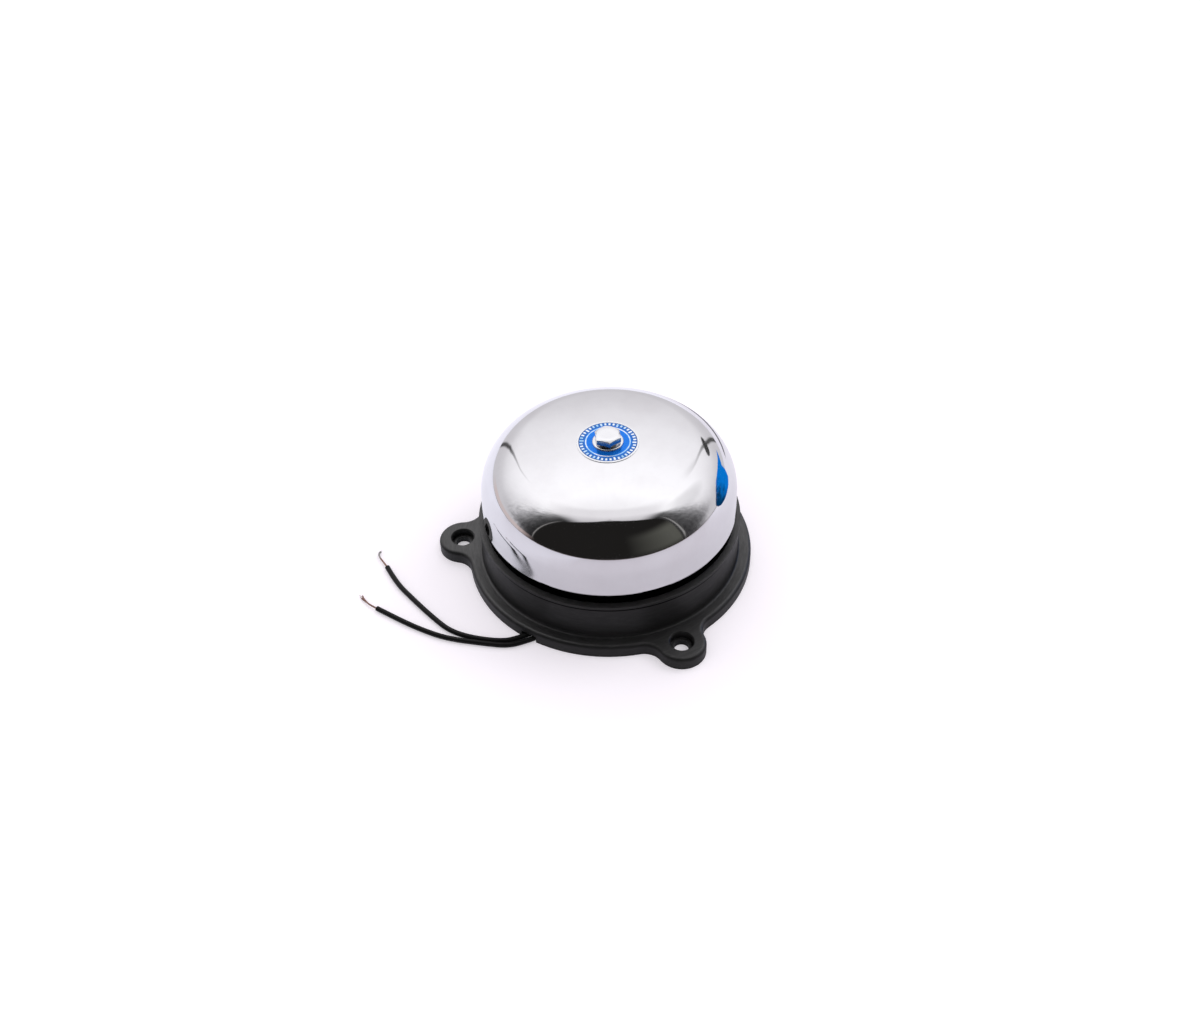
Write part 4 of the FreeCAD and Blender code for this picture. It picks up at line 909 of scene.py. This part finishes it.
# Plain metals and plastics: their colour, what it drifts to, least and most roughness, and options
METALS = {
    "brass": ((0.66, 0.46, 0.20), (0.56, 0.38, 0.17), 0.2, 0.36, {"stretch": (3.0, 1.0, 1.0)}),
    "zinc_steel": ((0.76, 0.765, 0.78), (0.70, 0.705, 0.72), 0.12, 0.22, {"round_off": 0.0}),
    "yoke_steel": ((0.60, 0.55, 0.38), (0.56, 0.48, 0.42), 0.28, 0.42, {"grain": 1.2}),
    "copper": ((0.50, 0.20, 0.08), (0.42, 0.15, 0.06), 0.18, 0.3, {"stretch": (6.0, 0.6, 0.6)}),
    "soft_iron": ((0.44, 0.44, 0.45), (0.36, 0.35, 0.35), 0.24, 0.4, {"stretch": (5.0, 0.5, 0.5)}),
    "spring_steel": ((0.50, 0.50, 0.52), (0.42, 0.42, 0.44), 0.22, 0.36, {}),
}
PLASTICS = {
    "fibre": ((0.30, 0.05, 0.03), (0.42, 0.09, 0.06), 0.5, 0.7, {"depth": 0.01}),
    "bobbin_nylon": ((0.74, 0.71, 0.63), (0.68, 0.64, 0.55), 0.35, 0.5, {"soft": 0.8}),
    "rubber": ((0.02, 0.02, 0.02), (0.032, 0.031, 0.03), 0.7, 0.9, {"depth": 0.02}),
    "clamp_nylon": ((0.72, 0.70, 0.64), (0.66, 0.63, 0.56), 0.4, 0.55, {"soft": 0.8}),
    "lead_insulation": ((0.004, 0.004, 0.004), (0.008, 0.0078, 0.0076), 0.26, 0.4,
                        {"grain": 1.4, "depth": 0.02, "shine": 0.16}),
    "tail_insulation": ((0.42, 0.03, 0.02), (0.36, 0.025, 0.02), 0.3, 0.45,
                        {"grain": 1.4, "depth": 0.015}),
}


def make_materials():
    """One material for each of the record's slots."""
    made = {
        "black_moulding": black_moulding(), "gong_chrome": chrome("gong_chrome", 0.035, 0.085),
        "disc_print": disc_print(), "coil_tape": coil_tape(), "sleeve_plastic": sleeve_plastic(),
        "diode_epoxy": diode_epoxy(), "strand_copper": strand_copper(),
    }
    for make, rows in ((metal, METALS), (plastic, PLASTICS)):
        for name, (*numbers, options) in rows.items():
            made[name] = make(name, *numbers, **options)
    return made


def dress_cad_nodes():
    """Give every CAD node the material of its own slot."""
    for row in frame["record"]["subparts"]:
        node = frame["nodes"][row["node"]]
        for material_slot in node.material_slots:
            material_slot.material = MATERIALS[row["material_slot"]]


# ---- leads ----

def new_curve(name, radius, roundness):
    data = bpy.data.curves.new(name, "CURVE")
    data.dimensions = "3D"
    data.bevel_depth = radius * MM
    data.bevel_resolution = roundness
    data.use_fill_caps = True
    return data


def add_spline(data, places):
    """Smooth line with the given places as its control points, in millimetres."""
    spline = data.splines.new("NURBS")
    spline.points.add(len(places) - 1)
    for point, place in zip(spline.points, places):
        point.co = (*vector(place), 1.0)
    spline.order_u = 3
    spline.use_endpoint_u = True


def route_curve(name, route, radius=0.0):
    data = new_curve(name, radius, 6)
    data.resolution_u = 16
    add_spline(data, route)
    return data


def spline_points(name, route):
    """Close points along the smooth curve of a route, in millimetres."""
    guide = new_object(name, route_curve(name, route))
    mesh = bpy.data.meshes.new_from_object(guide)
    points = [vertex.co / MM for vertex in mesh.vertices]
    bpy.data.objects.remove(guide)
    bpy.data.meshes.remove(mesh)
    return points


def strand_line(middle, last, home, spread, start, tilt):
    """Places of one wire, wound round the bundle's middle and spreading towards its tip."""
    end = len(middle) - 1
    places = []
    for n in range(last + 1):
        share = n / end
        way = (middle[min(n + 1, end)] - middle[max(n - 1, 0)]).normalized()
        side = way.cross(Vector((0, 0, 1))).normalized()
        up = side.cross(way)
        turn = math.radians(start + STRAND_TWIST * share + tilt)
        out = home + spread * max(0.0, share - STRAND_SPREAD_FROM) ** 2
        place = middle[n] + (side * math.cos(turn) * out + up * math.sin(turn) * out)
        place.z = max(place.z, STRAND_RADIUS)
        places.append(place)
    return places


def make_strands(name, route, node, seed, fray, tilt):
    """Twisted fine wires along a bare end, their tips spread by fray and of uneven length."""
    chance = random.Random(seed)
    middle = spline_points(f"{name}_guide", route)
    count = len(middle)
    data = new_curve(name, STRAND_RADIUS, 2)
    for strand in range(STRAND_COUNT):
        home = BUNDLE_RADIUS * (chance.uniform(0.8, 1.0) if strand else 0.0)
        start = 360.0 * strand / (STRAND_COUNT - 1)
        spread = fray * chance.uniform(0.2, 1.0)
        last = count - 1 - int(chance.uniform(0, STRAND_SHORTEST) * count)
        add_spline(data, strand_line(middle, last, home, spread, start, tilt))
    return set_piece(name, data, "strand_copper", node)


def make_lead(name, route, node):
    """Insulated lead that lies on the table."""
    lead = set_piece(name, route_curve(name, route, LEAD_DIAMETER / 2), "lead_insulation", node)


def make_leads():
    long_end = make_strands("long_strands", LONG_STRANDS, "lead_long_strands", 3, 0.9, 0.0)
    make_lead("long_lead", LONG_LEAD, "lead_long")
    short_end = make_strands("short_strands", SHORT_STRANDS, "lead_short_strands", 8, 1.8, 40.0)
    make_lead("short_lead", SHORT_LEAD, "lead_short")


# ---- gong and its stack ----

def crown_circle(shoulder_centre, seat_height):
    """Centre height and radius of the crown: it meets the seat's edge and touches the shoulder."""
    drop = seat_height - shoulder_centre[1]
    slope = drop / GONG_SHOULDER
    known = GONG_SEAT_RADIUS ** 2 - shoulder_centre[0] ** 2 - drop ** 2 + GONG_SHOULDER ** 2
    offset = known / (2 * GONG_SHOULDER)
    square = slope ** 2 - 1
    middle = slope * offset
    rest = offset ** 2 - GONG_SEAT_RADIUS ** 2
    depth = (-middle + math.sqrt(middle ** 2 - square * rest)) / square
    return seat_height - depth, math.hypot(depth, GONG_SEAT_RADIUS)


def gong_side(inset):
    """Profile of one side of the gong's sheet from rim to hole, inset from the outer side."""
    rim_radius, rim_height, top = round_box("gong")
    upright = GONG_WALL_HEIGHT - GONG_FLARE_HEIGHT
    lean = math.degrees(math.atan2(GONG_LEAN - GONG_FLARE, upright))
    wall_top = (rim_radius - GONG_LEAN, rim_height + GONG_WALL_HEIGHT)
    flare_slope = (GONG_LEAN - GONG_FLARE) / upright
    centre = (wall_top[0] - GONG_SHOULDER * math.cos(math.radians(lean)),
              wall_top[1] - GONG_SHOULDER * math.sin(math.radians(lean)))
    crown_height, crown_radius = crown_circle(centre, top)
    meeting = math.degrees(math.atan2(centre[1] - crown_height, centre[0]))
    seat_angle = math.degrees(math.acos(GONG_SEAT_RADIUS / crown_radius))
    out = math.cos(math.radians(lean))
    wall = []
    for n in range(GONG_FLARE_POINTS + 1):
        left = 1 - n / GONG_FLARE_POINTS
        height = GONG_FLARE_HEIGHT * (1 - left)
        extra = (GONG_FLARE - flare_slope * GONG_FLARE_HEIGHT) * left ** 3
        flared = wall_top[0] + flare_slope * (GONG_WALL_HEIGHT - height) + extra
        wall.append((flared - inset / out, rim_height + height))
    shoulder = arc(centre, GONG_SHOULDER - inset, lean, meeting, GONG_ARC_POINTS)
    crown = arc((0, crown_height), crown_radius - inset, meeting, seat_angle, GONG_ARC_POINTS)
    seat = [(GONG_SEAT_RADIUS - inset / 2, top - inset), (GONG_HOLE_RADIUS, top - inset)]
    return wall + shoulder + crown[1:] + seat[1:]


def make_gong():
    """The gong turned with far finer steps than the CAD mesh, so that its mirror is smooth."""
    outer = gong_side(0.0)
    inner = gong_side(GONG_SHEET)
    rim_radius, rim_height = outer[0]
    rounding = arc((rim_radius - GONG_RIM_ROUND, rim_height + GONG_RIM_ROUND), GONG_RIM_ROUND,
                   -90, 0, 8)
    outline = rounding + outer[1:] + inner[::-1]
    bm = turned(outline, GONG_SEGMENTS)
    add_piece("gong_shell", bm, "gong_chrome", "gong", sharp_angle=40.0)


def make_name_disc():
    radius, bottom, top = round_box("name_disc")
    edge = DISC_EDGE_ROUND
    outline = [(DISC_HOLE_RADIUS, bottom), (radius, bottom)]
    outline += arc((radius - edge, top - edge), edge, 0, 90, 5)
    outline += [(PRINT_OUTER, top), (DISC_HOLE_RADIUS, top)]
    add_piece("name_disc_plate", turned(outline, 128), "disc_print", "name_disc")


def make_flat_washer():
    radius, bottom, top = round_box("flat_washer")
    outline = [(WASHER_HOLE_RADIUS, bottom), (radius - WASHER_BEVEL, bottom)]
    outline += [(radius, bottom + WASHER_BEVEL)]
    outline += arc((radius - WASHER_ROUND, top - WASHER_ROUND), WASHER_ROUND, 0, 90, 12)
    outline += [(WASHER_HOLE_RADIUS + WASHER_BEVEL, top), (WASHER_HOLE_RADIUS, top - WASHER_BEVEL)]
    add_piece("flat_washer_plate", turned(outline, 96), "zinc_steel", "flat_washer")


def make_lock_washer():
    """Split ring whose two ends stand slightly apart in height."""
    outer, bottom, top = round_box("lock_washer")
    inner = WASHER_HOLE_RADIUS
    bevel = WASHER_BEVEL
    section = [(inner, bottom + bevel), (inner + bevel, bottom), (outer - bevel, bottom),
               (outer, bottom + bevel), (outer, top - bevel), (outer - bevel, top),
               (inner + bevel, top), (inner, top - bevel)]
    half_gap = math.degrees(LOCK_SLIT / 2 / outer)
    bm = bmesh.new()
    rings = []
    squeeze = 1 - LOCK_LIFT
    for n in range(LOCK_SEGMENTS + 1):
        share = n / LOCK_SEGMENTS
        angle = math.radians(half_gap + (360 - 2 * half_gap) * share)
        shift = LOCK_LIFT * (top - bottom) * share
        rings.append([bm.verts.new((*polar(r * MM, angle),
                                    (bottom + (h - bottom) * squeeze + shift) * MM))
                      for r, h in section])
    skin(bm, rings)
    add_piece("lock_washer_ring", bm, "zinc_steel", "lock_washer")


def hexagon_reach(angle):
    """Distance from the axis to a hexagon's side, for half its flats = 1."""
    sixth = math.pi / 3
    return 1 / math.cos((angle + sixth / 2) % sixth - sixth / 2)


def make_gong_bolt():
    """Hexagon head with its corners bevelled by a cone and a shallow dished top, on its shank."""
    _, bottom, top = round_box("gong_bolt")
    seat = top - BOLT_HEAD_HEIGHT
    half = BOLT_FLATS / 2
    corner = half * hexagon_reach(math.pi / 6)
    slope = BOLT_BEVEL_DROP / (corner - BOLT_TOP_RADIUS)
    bm = bmesh.new()

    def ring(radius_at, height_at):
        """Ring whose radius and height follow from the hexagon's own reach at each angle."""
        made = []
        for angle in ring_points(BOLT_SEGMENTS, BOLT_TURN):
            side = hexagon_reach(angle - math.radians(BOLT_TURN) + math.pi / 6) * half
            made.append(bm.verts.new((*polar(radius_at(side) * MM, angle), height_at(side) * MM)))
        return made

    def flat(radius, height):
        return ring(lambda _: radius, lambda _: height)

    rings = [
        flat(BOLT_RADIUS, bottom), flat(BOLT_RADIUS, seat), flat(half - BOLT_SEAT_INSET, seat),
        ring(lambda r: r - BOLT_FOOT, lambda _: seat), ring(lambda r: r, lambda _: seat + BOLT_FOOT),
        ring(lambda r: r, lambda r: top - (r - BOLT_TOP_RADIUS) * slope - BOLT_EDGE),
        ring(lambda r: r - BOLT_EDGE, lambda r: top - (r - BOLT_TOP_RADIUS - BOLT_EDGE) * slope),
        flat(BOLT_TOP_RADIUS + BOLT_EDGE, top - BOLT_EDGE * slope),
        flat(BOLT_TOP_RADIUS - BOLT_EDGE, top),
        flat(BOLT_TOP_RADIUS * 0.6, top - BOLT_DISH), flat(0.4, top - BOLT_DISH),
    ]
    skin(bm, rings)
    add_piece("gong_bolt_hex", bm, "zinc_steel", "gong_bolt", sharp_angle=25.0)


# ---- striker and coil ----

def make_return_spring():
    """Coil spring with closed end turns."""
    fixed_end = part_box("coil_yoke")[0].x / MM
    moving_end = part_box("spring_clip")[1].x / MM
    start = moving_end + SPRING_WIRE / 2
    run = fixed_end - moving_end - SPRING_WIRE
    closed = SPRING_END_TURNS * SPRING_WIRE
    free_turns = SPRING_TURNS - 2 * SPRING_END_TURNS
    points = []
    for n in range(int(SPRING_TURNS * SPRING_STEPS) + 1):
        turn = n / SPRING_STEPS
        left = min(turn, SPRING_END_TURNS)
        right = max(0.0, turn - (SPRING_TURNS - SPRING_END_TURNS))
        middle = turn - left - right
        along = (left + right) * SPRING_WIRE + middle * (run - 2 * closed) / free_turns
        angle = 2 * math.pi * turn
        points.append(Vector((start + along, SPRING_MEAN_RADIUS * math.cos(angle),
                              COIL_HEIGHT + SPRING_MEAN_RADIUS * math.sin(angle))))
    bm = tube(points, SPRING_WIRE / 2)
    spring = add_piece("return_spring_coil", bm, "spring_steel", "return_spring")
    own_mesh(spring)


def make_coil_tape():
    """Tape wound round the coil, its free end a step above the turn below."""
    low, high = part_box("coil_tape")
    left, right = low.x / MM, high.x / MM
    bm = bmesh.new()
    lap = math.radians(TAPE_LAP_ANGLE)

    def vertex(along, radius, angle):
        return bm.verts.new((along * MM, radius * MM * math.cos(angle),
                             (COIL_HEIGHT + radius * math.sin(angle)) * MM))

    columns = [(left, -TAPE_EDGE_DROP), (left + TAPE_EDGE, 0.0), ((left + right) / 2, 0.0),
               (right - TAPE_EDGE, 0.0), (right, -TAPE_EDGE_DROP)]
    rings = []
    for along, lift in columns:
        ring = []
        for n in range(TAPE_SEGMENTS + 1):
            share = n / TAPE_SEGMENTS
            radius = TAPE_RADIUS - TAPE_STEP * (1 - share) + lift
            ring.append(vertex(along, radius, lap + 2 * math.pi * share))
        rings.append(ring)
    inside = []
    for along in (left, right):
        ring = [vertex(along, TAPE_INSIDE, lap + angle) for angle in ring_points(TAPE_SEGMENTS)]
        inside.append(ring + ring[:1])
    strips = list(zip(rings, rings[1:])) + [(inside[0], rings[0]), (rings[-1], inside[1]),
                                            (inside[1], inside[0])]
    for first, second in strips:
        for n in range(TAPE_SEGMENTS):
            bm.faces.new([first[n], first[n + 1], second[n + 1], second[n]])
    step = [ring[-1] for ring in rings] + [ring[0] for ring in rings[::-1]]
    bm.faces.new(step)
    bmesh.ops.recalc_face_normals(bm, faces=bm.faces)
    add_piece("coil_tape_wrap", bm, "coil_tape", "coil_tape")


def make_sleeves():
    """Sleeves over the two splices, a little crumpled, with rolled ends."""
    chance = random.Random(5)
    bm = bmesh.new()
    for start in SLEEVE_STARTS:
        outline = list(SLEEVE_END)
        for n in range(SLEEVE_STEPS):
            share = (n + 0.5) / SLEEVE_STEPS
            outline.append((SLEEVE_RADIUS - chance.uniform(0.0, SLEEVE_CRUMPLE), share * SLEEVE_LENGTH))
        outline += [(radius, SLEEVE_LENGTH - height) for radius, height in reversed(SLEEVE_END)]
        sleeve = turned(outline, 48, closed=False)
        lay_along_x(sleeve, start)
        mesh = new_mesh("sleeve", sleeve)
        bm.from_mesh(mesh)
        bpy.data.meshes.remove(mesh)
    add_piece("splice_sleeve_pair", bm, "sleeve_plastic", "splice_sleeves")


# ---- whole scene ----


bpy.context.scene.view_settings.view_transform = "Standard"
make_camera()
MATERIALS = make_materials()
make_leads()
make_floor()
make_card()
make_world()
for lamp_row in LAMPS:
    make_lamp(*lamp_row)
dress_cad_nodes()
make_gong()
make_name_disc()
make_flat_washer()
make_lock_washer()
make_gong_bolt()
make_return_spring()
make_coil_tape()
make_sleeves()
